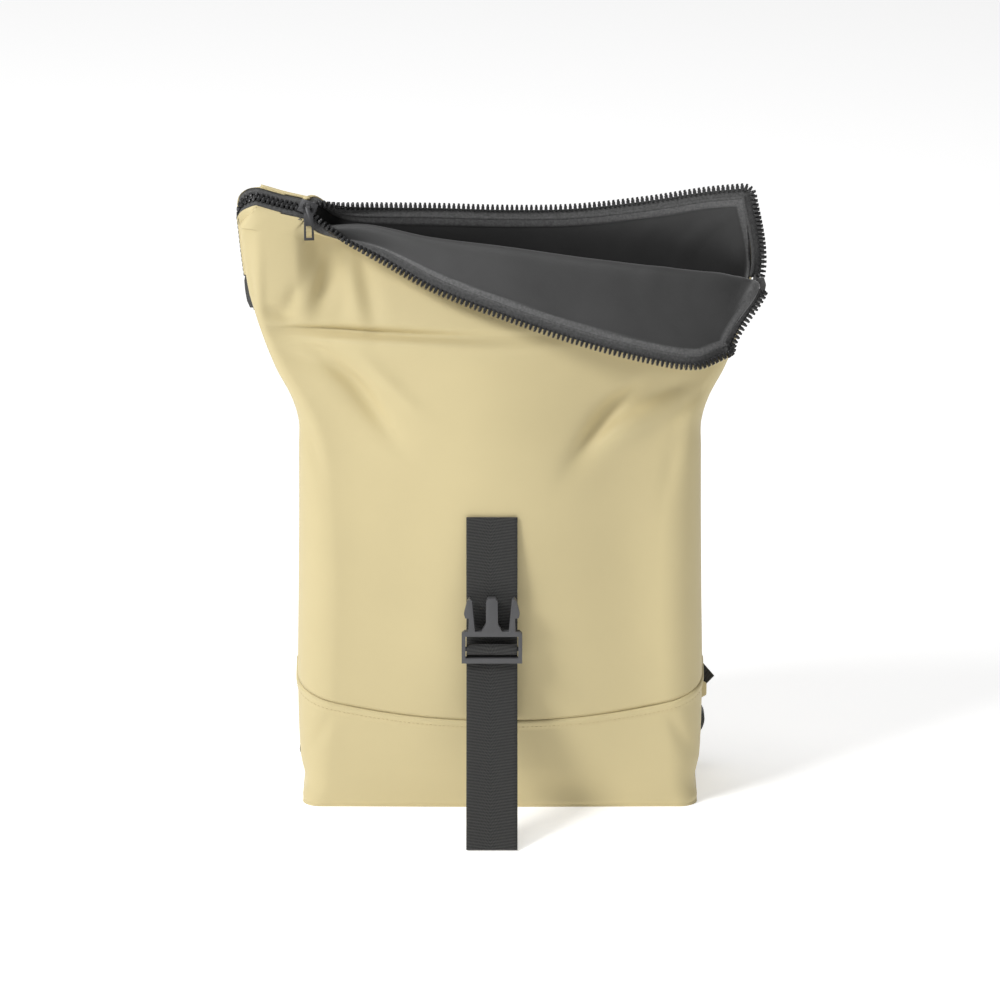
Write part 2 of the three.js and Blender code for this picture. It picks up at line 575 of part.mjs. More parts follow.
// The puller lies down the front from the rod: an eye round it, a neck, a plate and a slot near the lower end.
const pivot = V(sliderMiddle, 0, pivotOut).applyMatrix4(sliderFrame);
const NECK_LONG = 4;
const SLOT_TALL = 8;
const SLOT_RIM = 1.5;
const eyeBarrel = (radius, long) =>
  toManifold(new THREE.CylinderGeometry(radius, radius, long, 16).rotateZ(Math.PI / 2));
const neckTop = PIVOT_RADIUS + PIVOT_CLEAR + EYE_WALL / 2;
const plateLong = PULL_LONG - neckTop - NECK_LONG;
const slot = block(PULL_WIDE - 2 * SLOT_RIM, 2 * PULL_THICK, SLOT_TALL, V(0, 0, SLOT_RIM + SLOT_TALL / 2 - PULL_LONG));
const pullerBody = joinAll([
  eyeBarrel(eyeRadius, EYE_LONG),
  toManifold(block(EYE_LONG, PULL_THICK, 1.5 * NECK_LONG, V(0, 0, -neckTop - 0.75 * NECK_LONG))),
  toManifold(block(PULL_WIDE, PULL_THICK, plateLong, V(0, 0, plateLong / 2 - PULL_LONG))),
]).subtract(toManifold(slot)).subtract(eyeBarrel(PIVOT_RADIUS + PIVOT_CLEAR, 2 * EYE_LONG));
const pullerSide = V(0, 0, 1).cross(sliderRun).normalize();
const pullerFrame = new THREE.Matrix4()
  .makeBasis(sliderRun, pullerSide, sliderRun.clone().cross(pullerSide).normalize())
  .multiply(new THREE.Matrix4().makeRotationX(-degToRad(PULL_LIES)))
  .setPosition(pivot);
add('zip_puller', fromManifold(pullerBody).applyMatrix4(pullerFrame), METAL);

// Tabs sewn over the lower ends of the zip: a patch round the side and a fold that sticks out of it
const TAB_ROWS = 5;
for (const [name, hand] of [['left', -1], ['right', 1]]) {
  const ends = Object.values(zipLines).map((line) => line[hand < 0 ? 0 : line.length - 1].at.z);
  const patch = steps(TAB_ROWS).map((t) => {
    const z = Math.min(...ends) - 5 * CLEAR - (1 - t) * TAB_LONG;
    const reach = (TAB_WIDE / 2) * (1 - 0.5 * (1 - t) ** 3);
    return across(4).map((y) => V(hand * sectionPoint(1, z, 1).x, hand * y * reach, z));
  });
  const fold = patch.map((row, j) => {
    const near = Math.abs(row[0].x) + CLEAR + TAB_THICK / 2;
    const far = near + TAB_OUT * (1 - 0.35 * ((2 * j) / TAB_ROWS - 1) ** 4);
    return [[near, -1], [far, -1], [far, 1], [near, 1]].map(([x, y]) =>
      V(hand * x, (y * TAB_THICK) / 2, lerp(row[0].z, patch[0][0].z + TAB_LONG / 2, 0.06)));
  });
  const tab = toManifold(wall(patch, CLEAR, CLEAR + TAB_THICK / 2 + 0.2)).add(toManifold(loft(fold)));
  add(`zip_end_tab_${name}`, fromManifold(cutClear(tab, ...sheets.front, ...sheets.back)), WEBBING);
}

// Front webbing: sewn down at its hem and in the band's seam, and standing off the bag between them
const faceY = (x, z) => sectionPoint(x / halfWidth / 1.3, z, -1).y + foldDepth(x, z);
const stripOut = CLEAR + WEB_THICK / 2;
const stripFoot = SEAM_LOW + 2 * WEB_THICK;
const stripLine = steps(10).map((t) => {
  const z = lerp(STRIP_TOP, stripFoot, t);
  return V(WEB_AT, faceY(WEB_AT, z) - stripOut - STRIP_BOW * Math.sin(Math.PI * t ** 0.8) ** 2, z);
});
add('front_webbing', ribbon(strapStations(stripLine, V(1, 0, 0)), -WEB_WIDE / 2, WEB_WIDE / 2,
  -WEB_THICK / 2, WEB_THICK / 2), WEBBING);

// Buckle, prongs up. out is measured forward from the fullest part of the front.
const fullest = -1.1 * halfDepth;
const layer = WEB_THICK + CLEAR;
const atBuckle = STRIP_BOW + stripOut + layer;
const buckleBack = atBuckle + layer + WEB_THICK / 2 + CLEAR;
const barRadius = 1.7;
const windowLow = BUCKLE_LOW + BUCKLE_BAR;
const windowHigh = BUCKLE_LOW + BUCKLE_FRAME - BUCKLE_BAR;
const barZ = windowLow + 4.7 + barRadius;
const barOut = buckleBack + barRadius;
const side = BUCKLE_WIDE / 2;
const frameTop = BUCKLE_LOW + BUCKLE_FRAME;
const tip = BUCKLE_LOW + BUCKLE_LONG;
const prongs = tip - frameTop;
// One side arm: x is a share of half the buckle's width, z of the prongs' length.
const ARM = [
  { x: 0.56, z: 0 }, { x: 0.62, z: 0.5 }, { x: 0.66, z: 0.94 }, { x: 0.74, z: 1 }, { x: 0.82, z: 0.9 },
  { x: 0.92, z: 0.52 }, { x: 0.88, z: 0.4 }, { x: 0.76, z: 0.4 }, { x: 0.78, z: 0 },
];
const armPoints = ARM.map(({ x, z }) => new THREE.Vector2(x * side, frameTop + z * prongs));
const mirrored = (points) => points.map((p) => new THREE.Vector2(-p.x, p.y)).reverse();
const middleProng = [[0.34, 0], [0.2, 0.22], [0.19, 0.9], [0.12, 1]]
  .map(([x, z]) => new THREE.Vector2(x * side, frameTop + z * prongs));
const rightHalf = [
  new THREE.Vector2(side, BUCKLE_LOW), new THREE.Vector2(side, frameTop - BUCKLE_CHAMFER),
  new THREE.Vector2(side - BUCKLE_CHAMFER, frameTop), ...armPoints.slice().reverse(), ...middleProng,
];
const outline = new THREE.Shape([...rightHalf, ...mirrored(rightHalf)]);
const opening = WEB_WIDE / 2 + 2 * CLEAR;
outline.holes.push(new THREE.Path([
  new THREE.Vector2(-opening, windowLow), new THREE.Vector2(-opening, windowHigh),
  new THREE.Vector2(opening, windowHigh), new THREE.Vector2(opening, windowLow),
]));
const buckleFrame = new THREE.ExtrudeGeometry(outline, { depth: BUCKLE_THICK, bevelEnabled: false })
  .rotateX(Math.PI / 2).translate(WEB_AT, fullest - buckleBack, 0);
const middleBar = new THREE.CylinderGeometry(barRadius, barRadius, 2 * opening + 2, 12)
  .rotateZ(Math.PI / 2).translate(WEB_AT, fullest - barOut, barZ);
add('buckle_prong_half', fromManifold(toManifold(buckleFrame).add(toManifold(middleBar))), PLASTIC);

// Buckle strap: from the seam up behind the lower bar, over the middle bar, back behind the lower bar and
// down to the ground. turnAt is its distance from the middle bar.
const turnAt = barRadius + CLEAR + WEB_THICK / 2;
// The loose end: out is a share of its reach, z of the height of the buckle's lower bar.
const TAIL = [
  { out: 0.06, z: 0.88 }, { out: 0.28, z: 0.64 }, { out: 0.5, z: 0.46 }, { out: 0.76, z: 0.24 }, { out: 0.9, z: 0.1 },
];
const strapOut = (out, z) => V(WEB_AT, fullest - out, z);
const behind = atBuckle + layer;
const strapFoot = stripOut + layer;
const strapLine = smooth([
  strapOut(strapFoot, stripFoot), strapOut(lerp(strapFoot, atBuckle, 0.4), lerp(stripFoot, BUCKLE_LOW, 0.45)),
  strapOut(lerp(strapFoot, atBuckle, 0.85), BUCKLE_LOW - 8), strapOut(atBuckle, BUCKLE_LOW + 2),
  strapOut(barOut - turnAt, barZ - 1), strapOut(barOut - turnAt * 0.7, barZ + turnAt * 0.72),
  strapOut(barOut, barZ + turnAt), strapOut(barOut + turnAt * 0.72, barZ + turnAt * 0.7),
  strapOut(barOut + turnAt, barZ - 0.3), strapOut(barOut + turnAt * 0.6, barZ - turnAt * 0.95),
  strapOut(behind + 1.2, windowLow + 2), strapOut(behind, windowLow - 1), strapOut(behind + 0.5, BUCKLE_LOW - 3),
  ...TAIL.map(({ out, z }) => strapOut(lerp(behind, TAIL_REACH, out), BUCKLE_LOW * z)),
  strapOut(TAIL_REACH, WEB_THICK * 0.6),
], 46);
add('buckle_strap', ribbon(strapStations(strapLine, V(1, 0, 0)), -WEB_WIDE / 2, WEB_WIDE / 2,
  -WEB_THICK / 2, WEB_THICK / 2), WEBBING);

// Where the back or the side of the body is at a height, for the pieces that lie on it
const backY = (x, z) => sectionPoint(x / halfWidth / 1.3, z, 1).y;

function cornerX(y, z) {
  let s = 0.5;
  while (s < 1 && sectionPoint(s, z, 1).y > y) s += 0.002;
  return sectionPoint(s, z, 1).x;
}

// Stations of a strap that lies on the back, whose outer face looks along a direction.
function backStations(points, looks) {
  return points.map((at, i) => {
    const run = direction(points, i, false).normalize();
    const through = looks.clone().addScaledVector(run, -looks.dot(run)).normalize();
    return { at, across: run.clone().cross(through).normalize(), through };
  });
}

// The padded part of a shoulder strap, from the sewn top end down. at is the share of its line, x a share of
// half the base's width, z of the height, off its distance behind the back, wide and thick shares of its own.
const PAD = [
  { at: 0, x: 0.26, z: 0.845, off: 0.3, wide: 0.66, thick: 0.36 },
  { at: 0.1, x: 0.28, z: 0.8, off: 1.1, wide: 0.86, thick: 0.8 },
  { at: 0.28, x: 0.34, z: 0.72, off: 3.2, wide: 1, thick: 1 },
  { at: 0.5, x: 0.4, z: 0.58, off: 4.3, wide: 1, thick: 1 },
  { at: 0.72, x: 0.45, z: 0.42, off: 3.8, wide: 1, thick: 1 },
  { at: 0.88, x: 0.52, z: 0.31, off: 2.6, wide: 0.92, thick: 0.9 },
  { at: 1, x: 0.6, z: 0.245, off: 1.9, wide: 0.6, thick: 0.6 },
];
const PAD_EDGE = 0.22; // how much of its width the rounded edge takes
const padRows = steps(14).map((t) => readTable(PAD, t));
const wingZ = 60; // middle of the lower anchors
const wingFront = 43;
const backLook = V(0, 1, 0);

for (const [name, hand] of [['left', -1], ['right', 1]]) {
  const padLine = padRows.map((row) => {
    const x = row.x * halfWidth;
    const z = row.z * HEIGHT;
    return V(hand * x, backY(x, z) + row.off * PAD_THICK, z);
  });
  const padLoops = backStations(padLine, backLook).map(({ at, across: wide, through }, i) => {
    const w = (padRows[i].wide * PAD_WIDE) / 2;
    const t = (padRows[i].thick * PAD_THICK) / 2;
    const rim = w * (1 - PAD_EDGE);
    return [[-w, 0], [-rim, -t], [rim, -t], [w, 0], [rim, t], [-rim, t]].map(([a, b]) =>
      at.clone().addScaledVector(wide, a).addScaledVector(through, b));
  });
  add(`shoulder_strap_${name}`, loft(padLoops), DARK_CLOTH);

  // Lower webbing from the pad's end to the anchor, with a plain ladder lock round it
  const padEnd = padLine[padLine.length - 1];
  const leave = padEnd.clone().sub(padLine[padLine.length - 2]).normalize();
  const wingBack = wingFront + WING_THICK + stripOut;
  const webLine = smooth([
    ...[3 * CLEAR, 8, 16, 24].map((reach) => padEnd.clone().addScaledVector(leave, reach)),
    V(hand * 122, padEnd.y - 4, 92), V(hand * 142, wingBack + 9, 72), V(hand * 158, wingBack, wingZ),
  ], 12);
  add(`lower_webbing_${name}`, ribbon(backStations(webLine, backLook), -THIN_WEB / 2, THIN_WEB / 2,
    -WEB_THICK / 2, WEB_THICK / 2), WEBBING);
  const lockRun = leave;
  const lockThrough = backLook.clone().addScaledVector(lockRun, -backLook.dot(lockRun)).normalize();
  const lockFrame = new THREE.Matrix4().makeBasis(lockRun, lockThrough, lockRun.clone().cross(lockThrough))
    .setPosition(padEnd.clone().addScaledVector(leave, 0.75 * ADJUSTER_LONG));
  const inside = V(2 * ADJUSTER_LONG, WEB_THICK + 9 * CLEAR, THIN_WEB + 4 * CLEAR);
  const rim = 2 * ADJUSTER_WALL;
  const outer = toManifold(block(ADJUSTER_LONG, inside.y + rim, inside.z + rim, V(0, 0, 0)));
  const inner = toManifold(block(inside.x, inside.y, inside.z, V(0, 0, 0)));
  add(`strap_adjuster_${name}`, fromManifold(outer.subtract(inner)).applyMatrix4(lockFrame), PLASTIC);

  // Anchor of the bag's own fabric, sewn into the corner of the band
  const low = wingZ - WING_TALL / 2;
  const high = wingZ + WING_TALL / 2;
  const near = (z) => cornerX(wingFront, z) + CLEAR;
  const out = near(wingZ) + WING_OUT;
  const wing = new THREE.Shape([
    new THREE.Vector2(near(low), low), new THREE.Vector2(out, wingZ - WING_TALL * 0.2),
    new THREE.Vector2(out, wingZ + WING_TALL * 0.16), new THREE.Vector2(near(high), high),
  ]);
  const wingSolid = new THREE.ExtrudeGeometry(wing, { depth: WING_THICK, bevelEnabled: false })
    .rotateX(Math.PI / 2).translate(0, wingFront + WING_THICK, 0);
  if (hand < 0) wingSolid.rotateZ(Math.PI).translate(0, 2 * wingFront + WING_THICK, 0);
  add(`wing_tab_${name}`, wingSolid, FABRIC);
}

// Rear webbing, sewn down at its top, with the closed half of the buckle hanging from it
const rearLine = steps(6).map((t) => {
  const z = REAR_TOP - t * REAR_LONG;
  return V(WEB_AT, backY(WEB_AT, z) + stripOut + 4 * t * t, z);
});
add('rear_webbing', ribbon(strapStations(rearLine, V(1, 0, 0)), -WEB_WIDE / 2, WEB_WIDE / 2,
  -WEB_THICK / 2, WEB_THICK / 2), WEBBING);
const socketTop = REAR_TOP - REAR_LONG - CLEAR;
const socketAt = V(WEB_AT, rearLine[6].y + 2, socketTop - SOCKET_LONG / 2);
const socketWall = 2.5;
const socketOuter = toManifold(block(BUCKLE_WIDE + 2, SOCKET_THICK, SOCKET_LONG, socketAt));
const socketHole = toManifold(block(BUCKLE_WIDE + 2 - 2 * socketWall, SOCKET_THICK - 2 * socketWall, SOCKET_LONG,
  V(socketAt.x, socketAt.y, socketAt.z - 10)));
add('buckle_socket', fromManifold(socketOuter.subtract(socketHole)), PLASTIC);

export default bag;
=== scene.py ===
# A rolltop backpack, unrolled and standing with its top zip open. Metres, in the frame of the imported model:
# +Z is up, the front faces -Y, and the origin is the middle of the underside of the base.
import math

import bmesh
import bpy
import numpy as np
from mathutils import Matrix, Vector


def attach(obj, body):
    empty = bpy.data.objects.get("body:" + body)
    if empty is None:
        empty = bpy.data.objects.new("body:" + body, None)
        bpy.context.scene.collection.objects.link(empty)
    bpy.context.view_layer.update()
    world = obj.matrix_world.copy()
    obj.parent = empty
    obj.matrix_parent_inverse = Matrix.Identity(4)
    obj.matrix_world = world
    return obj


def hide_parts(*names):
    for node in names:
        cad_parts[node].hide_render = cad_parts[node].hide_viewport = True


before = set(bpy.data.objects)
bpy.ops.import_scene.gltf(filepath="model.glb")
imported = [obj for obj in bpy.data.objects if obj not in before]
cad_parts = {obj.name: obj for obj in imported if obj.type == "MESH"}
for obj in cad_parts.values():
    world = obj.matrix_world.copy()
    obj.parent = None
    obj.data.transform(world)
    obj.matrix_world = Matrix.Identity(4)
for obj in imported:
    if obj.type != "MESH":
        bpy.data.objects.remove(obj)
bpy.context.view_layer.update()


# Studio. A plain pale floor, a wide soft key light from the upper left in front of the bag, a weaker fill
# from the right, and a long lens that looks down a little at the bag.
def add_object(name, data):
    made = bpy.data.objects.new(name, data)
    bpy.context.scene.collection.objects.link(made)
    return made


def soft_light(name, at, towards, size, power):
    lamp = bpy.data.lights.new(name, "AREA")
    lamp.shape = "DISK"
    lamp.size = size
    lamp.energy = power
    light = add_object(name, lamp)
    light.location = at
    light.rotation_euler = (Vector(towards) - Vector(at)).to_track_quat("-Z", "Y").to_euler()


soft_light("key", (-2.5, -1.8, 2.8), (0.0, 0.0, 0.25), 1.2, 104.0)
soft_light("fill", (2.2, -3.2, 1.2), (0.0, 0.0, 0.25), 2.4, 5.0)
soft_light("top", (-0.5, 0.3, 3.0), (0.0, 0.0, 0.2), 1.8, 30.0)

world = bpy.data.worlds.new("room")
bpy.context.scene.world = world
world.use_nodes = True
world.node_tree.nodes["Background"].inputs["Color"].default_value = (1.0, 1.0, 1.0, 1.0)
world.node_tree.nodes["Background"].inputs["Strength"].default_value = 0.26

floor_mesh = bpy.data.meshes.new("floor")
floor_mesh.from_pydata([(-12, -12, 0), (12, -12, 0), (12, 12, 0), (-12, 12, 0)], [], [(0, 1, 2, 3)])
floor = add_object("floor", floor_mesh)
pale = bpy.data.materials.new("pale_floor")
pale.use_nodes = True
pale_shader = pale.node_tree.nodes["Principled BSDF"]
pale_shader.inputs["Base Color"].default_value = (0.9, 0.9, 0.9, 1.0)
pale_shader.inputs["Roughness"].default_value = 0.9
pale_shader.inputs["Emission Color"].default_value = (1.0, 1.0, 1.0, 1.0)
pale_shader.inputs["Emission Strength"].default_value = 0.45
floor_mesh.materials.append(pale)

LOOKS_DOWN = math.radians(18)
FAR_OFF = 5.0
AIM = Vector((0.0, -0.057, 0.2439))
lens = bpy.data.cameras.new("camera")
lens.angle = 2 * math.atan(0.37037 / FAR_OFF)
camera = add_object("camera", lens)
camera.location = AIM + FAR_OFF * Vector((0.0, -math.cos(LOOKS_DOWN), math.sin(LOOKS_DOWN)))
camera.rotation_euler = (AIM - camera.location).to_track_quat("-Z", "Y").to_euler()
bpy.context.scene.camera = camera
bpy.context.scene.view_settings.view_transform = "Standard"


# Front and back panels. Two sheets of tan coated canvas, joined at the sides, from the base band's seam to
# the zip, where their edges are turned under. The front one folds forward over its crest by the open zip.
# The body is a row of sections with folds pressed into its front. Sizes from here on are millimetres.
HEIGHT = 470.0
HALF_WIDTH = 150.0
HALF_DEPTH = 55.0
HALF_MOUTH = 193.0
MOUTH_CORNER = 14.0
SHELL = 1.4
LINING = 1.0
LINING_GAP = 0.5
BODY_WALL = SHELL + LINING_GAP + LINING
SEAM_LOW = 71.5
SEAM_HIGH = 103.0
ZIP_END = 400.0
TEETH_WIDE = 3.5
TAPE_WIDE = 5.0
ZIP_HALF = TEETH_WIDE + TAPE_WIDE + 0.3
SLIDER_AT = 6.0 / 28.0 - 1.0
STRAIGHT_TOP = HALF_MOUTH - MOUTH_CORNER
CREASE = 0.775 * HEIGHT
SHOULDER = 0.84 * HEIGHT


def table(names, rows):
    return dict(zip(names.split(), np.array(rows, dtype=float).T))


# Shares of the height, of half the width and of half the depth.
SECTIONS = table("at width front back edge round", [
    (0.0, 1.0, 1.0, 1.0, 0.98, 0.27),
    (0.034, 0.978, 1.0, 1.0, 0.95, 0.34),
    (0.075, 1.003, 1.07, 1.04, 0.93, 0.44),
    (0.2, 1.014, 1.1, 1.06, 0.88, 0.54),
    (0.34, 1.008, 1.1, 1.05, 0.82, 0.57),
    (0.48, 1.002, 1.06, 1.0, 0.74, 0.52),
    (0.58, 1.0, 1.0, 0.92, 0.62, 0.42),
    (0.62, 1.0, 0.95, 0.86, 0.54, 0.34),
    (0.66, 1.035, 0.88, 0.8, 0.46, 0.26),
    (0.71, 1.115, 0.81, 0.72, 0.38, 0.2),
    (0.775, 1.19, 0.72, 0.62, 0.3, 0.12),
    (0.84, 1.245, 0.6, 0.52, 0.26, 0.09),
    (0.95, 1.285, 0.5, 0.45, 0.24, 0.07),
])
MOUTH = table("at crest_y crest_z zip_y zip_z turn slip flare back_y back_z lean", [
    (-1.0, -0.3, 0.938, -0.07, 0.982, -45, 0, 0, -0.07, 0.982, 135),
    (-0.9, -0.31, 0.935, -0.08, 0.971, -45, 0, 0, -0.08, 0.971, 135),
    (-0.786, -0.3, 0.927, -0.08, 0.96, -45, 0, 0, -0.08, 0.96, 135),
    (-0.758, -0.26, 0.92, -0.13, 0.953, -42, 0, 0, -0.01, 0.966, 125),
    (-0.7, -0.08, 0.923, -0.23, 0.938, 20, 0, 0, 0.06, 0.966, 75),
    (-0.63, -0.07, 0.93, -0.33, 0.918, 80, 0, 0, 0.12, 0.964, 35),
    (-0.5, -0.12, 0.933, -0.47, 0.893, 120, 0, 0, 0.2, 0.962, 8),
    (-0.27, -0.27, 0.918, -0.72, 0.85, 142, 0, 0, 0.31, 0.958, -3),
    (0.03, -0.4, 0.906, -0.94, 0.811, 148, 0, 0, 0.37, 0.953, -4),
    (0.3, -0.47, 0.892, -1.06, 0.779, 150, 0, 0, 0.36, 0.955, -3),
    (0.6, -0.45, 0.876, -1.11, 0.751, 150, -0.015, 0, 0.25, 0.971, -2),
    (0.85, -0.29, 0.859, -1.07, 0.737, 146, -0.04, 0.01, 0.13, 0.99, 0),
    (1.0, -0.1, 0.842, -0.85, 0.749, 138, -0.055, 0.05, 0.05, 0.998, 0),
])
# Folds and dents of the front: where, how long, how wide, their slope in degrees and how deep they sink.
FOLDS = table("x z long wide turn deep", [
    (-0.62, 0.772, 1.3, 0.13, 2, 0.07),
    (-0.6, 0.748, 1.2, 0.14, 2, -0.05),
    (-0.95, 0.73, 0.5, 0.16, -14, 0.08),
    (-0.68, 0.668, 0.62, 0.17, -48, 0.08),
    (-0.92, 0.862, 0.28, 0.24, 70, 0.09),
    (-0.78, 0.868, 0.7, 0.2, 84, 0.06),
    (0.45, 0.61, 0.5, 0.17, 55, 0.1),
    (0.78, 0.668, 0.55, 0.17, 20, 0.1),
    (0.66, 0.622, 0.55, 0.2, 24, -0.08),
    (-0.4, 0.45, 1.5, 0.5, 80, 0.04),
    (0.62, 0.4, 1.6, 0.5, 96, 0.05),
])
# The same for the finer folds, which only the cloth shows: the long crease below the zip and its ridge, the
# puckers above it, and the slanting folds below it on both sides.
FINE_FOLDS = table("x z long wide turn deep", [
    (-0.72, 0.774, 1.5, 0.05, 0.5, 0.11),
    (-0.6, 0.757, 1.7, 0.06, 0.5, -0.06),
    (-1.1, 0.8, 0.22, 0.1, -20, 0.07),
    (-1.02, 0.823, 0.26, 0.12, 62, 0.06),
    (-0.93, 0.853, 0.3, 0.13, 70, -0.05),
    (-0.86, 0.84, 0.4, 0.12, 74, 0.06),
    (-0.72, 0.85, 0.55, 0.14, 100, -0.05),
    (-0.66, 0.835, 0.5, 0.14, 104, 0.05),
    (-1.0, 0.752, 0.45, 0.09, -14, 0.06),
    (-0.9, 0.732, 0.45, 0.1, -24, -0.05),
    (-0.8, 0.712, 0.4, 0.1, -36, 0.07),
    (-0.66, 0.665, 0.5, 0.1, -52, 0.06),
    (-0.56, 0.7, 0.55, 0.12, -42, -0.05),
    (0.5, 0.63, 0.45, 0.11, 48, 0.07),
    (0.62, 0.67, 0.4, 0.12, 30, 0.06),
    (0.7, 0.64, 0.5, 0.12, 30, -0.06),
    (0.95, 0.66, 0.35, 0.1, 40, 0.06),
    (0.86, 0.57, 0.5, 0.12, 78, 0.035),
    (-0.95, 0.6, 0.45, 0.1, -70, 0.05),
    (-0.9, 0.12, 0.35, 0.1, 60, 0.035),
    (0.9, 0.12, 0.35, 0.1, -62, 0.035),
])


def read(rows, at):
    """Each column of a table at places along it, on a smooth line through its rows."""
    at = np.asarray(at, dtype=float)
    marks = rows["at"]
    last = len(marks) - 1
    i = np.clip(np.searchsorted(marks, at) - 1, 0, last - 1)
    before = np.maximum(i - 1, 0)
    after = np.minimum(i + 2, last)
    span = marks[i + 1] - marks[i]
    t = np.clip((at - marks[i]) / span, 0, 1)
    found = {}
    for name, values in rows.items():
        start = (values[i + 1] - values[before]) / (marks[i + 1] - marks[before]) * span
        end = (values[after] - values[i]) / (marks[after] - marks[i]) * span
        found[name] = ((2 * t**3 - 3 * t**2 + 1) * values[i] + (t**3 - 2 * t**2 + t) * start
                       + (-2 * t**3 + 3 * t**2) * values[i + 1] + (t**3 - t**2) * end)
    return found


def mix(a, b, t):
    return a + (b - a) * t


def ease(x, low, high):
    t = np.clip((np.asarray(x, dtype=float) - low) / (high - low), 0, 1)
    return t * t * (3 - 2 * t)


def unit(v):
    return v / np.maximum(np.linalg.norm(v, axis=-1, keepdims=True), 1e-9)


def square_to(run, v):
    """The way v points, less what it has along run."""
    return unit(v - run * np.sum(v * run, axis=-1, keepdims=True))


def section_point(s, z, side):
    row = read(SECTIONS, z / HEIGHT)
    wide = row["width"] * HALF_WIDTH
    middle = (row["front"] if side < 0 else row["back"]) * HALF_DEPTH
    edge = row["edge"] * HALF_DEPTH
    turn = row["round"] * HALF_DEPTH
    flat = wide - turn
    quarter = math.pi / 2 * turn
    along = np.abs(s) * (flat + quarter + edge - turn)
    angle = np.clip((along - flat) / turn, 0, math.pi / 2)
    x = np.where(along <= flat, along, flat + turn * np.sin(angle))
    y = np.where(along <= flat, edge + (middle - edge) * (1 - np.minimum(along / flat, 1) ** 2) ** 2,
                 edge - turn + turn * np.cos(angle))
    past = along > flat + quarter
    x = np.where(past, wide, x)
    y = np.where(past, edge - turn - (along - flat - quarter), y)
    return np.stack([np.sign(s) * x, side * y, z + 0 * x], axis=-1)


def fold_depth(folds, x, z):
    sunk = 0.0
    for i in range(len(folds["x"])):
        turn = math.radians(folds["turn"][i])
        dx = x - folds["x"][i] * HALF_WIDTH
        dz = z - folds["z"][i] * HEIGHT
        along = (dx * math.cos(turn) + dz * math.sin(turn)) / (folds["long"][i] * HALF_DEPTH)
        across = (dz * math.cos(turn) - dx * math.sin(turn)) / (folds["wide"][i] * HALF_DEPTH)
        sunk = sunk + folds["deep"][i] * HALF_DEPTH * np.exp(-along**2 - across**2)
    return sunk


def seam_height(s):
    return SEAM_LOW + (SEAM_HIGH - SEAM_LOW) * np.abs(s) ** 2.7


def up_turned(degrees):
    angle = np.radians(degrees)
    return np.stack([0 * angle, -np.sin(angle), np.cos(angle)], axis=-1)


def zip_line(s, side):
    row = read(MOUTH, s)
    x = s * STRAIGHT_TOP
    slipped = x + row["slip"] * HALF_MOUTH
    front = np.stack([slipped, row["zip_y"] * HALF_DEPTH, row["zip_z"] * HEIGHT], axis=-1)
    back = np.stack([x, row["back_y"] * HALF_DEPTH, row["back_z"] * HEIGHT], axis=-1)
    parted = ((side > 0) & (s > SLIDER_AT))[..., None]
    return np.where(parted, back, front)


def mouth_edge(s, side):
    """The zip's line, the way out of the sheet's edge, and the way that its outer face looks."""
    row = read(MOUTH, s)
    run = unit(zip_line(np.minimum(s + 0.01, 1), side) - zip_line(np.maximum(s - 0.01, -1), side))
    parted = ((side > 0) & (s > SLIDER_AT))[..., None]
    up = np.where(parted, up_turned(row["lean"]), -side * up_turned(row["turn"]))
    up = square_to(run, up)
    return zip_line(s, side), up, -side * np.cross(run, up)


def side_share(z):
    room = mix(0.15, ZIP_HALF, ease(z, ZIP_END - 30, ZIP_END - 8))
    row = read(SECTIONS, z / HEIGHT)
    long = row["width"] * HALF_WIDTH + (row["edge"] + (math.pi / 2 - 2) * row["round"]) * HALF_DEPTH
    return 1 - room / long


def bezier(a, b, c, d, count):
    t = (np.arange(1, count + 1) / count)[:, None, None]
    return (1 - t) ** 3 * a + 3 * (1 - t) ** 2 * t * b + 3 * (1 - t) * t**2 * c + t**3 * d


def edge_points(s, side):
    line, up, face = mouth_edge(s, side)
    return line - up * ZIP_HALF + face * BODY_WALL / 2, up


def body_rows(s, side, top, count):
    z = mix(seam_height(s)[None, :], top, np.linspace(0, 1, count)[:, None])
    points = section_point(s[None, :] * side_share(z), z, side)
    if side < 0:
        points[..., 1] += fold_depth(FOLDS, points[..., 0], z) * (1 - s[None, :] ** 8)
    return points


FRONT_ROWS = (124, 56, 41)
BACK_ROWS = (100, 41)


def front_sheet(s):
    rows = body_rows(s, -1, CREASE, FRONT_ROWS[0])
    row = read(MOUTH, s)
    edge, up = edge_points(s, -1)
    height = row["crest_z"] * HEIGHT
    rim = section_point(s * side_share(height), height, -1)
    crest = rim.copy()
    crest[:, 1] = mix(row["crest_y"] * HALF_DEPTH, rim[:, 1], ease(np.abs(s), 0.93, 1))
    start = rows[-1]
    rise = unit(start - rows[-8])
    climb = np.linalg.norm(crest - start, axis=-1, keepdims=True) / 3
    over = up_turned(row["turn"] / 2)
    fall = np.linalg.norm(crest - edge, axis=-1, keepdims=True) / 3
    swing = np.stack([row["flare"] * HALF_MOUTH, 0 * s, 0 * s], axis=-1)
    climbing = bezier(start, start + rise * climb, crest - over * climb * 0.8, crest, FRONT_ROWS[1])
    held = ease(np.abs(s), 0.9, 1)[None, :, None]
    level = climbing[..., 2]
    climbing = mix(climbing, section_point(s[None, :] * side_share(level), level, -1), held)
    falling = bezier(crest, crest + over * fall * 0.8 + swing, edge - up * fall + swing, edge, FRONT_ROWS[2])
    return np.concatenate([rows, climbing, falling])


def back_sheet(s):
    rows = body_rows(s, 1, SHOULDER, BACK_ROWS[0])
    edge, up = edge_points(s, 1)
    start = rows[-1]
    rise = unit(start - rows[-8])
    climb = np.linalg.norm(edge - start, axis=-1, keepdims=True) / 3
    climbing = bezier(start, start + rise * climb, edge - up * climb * 0.6, edge, BACK_ROWS[1])
    return np.concatenate([rows, climbing])


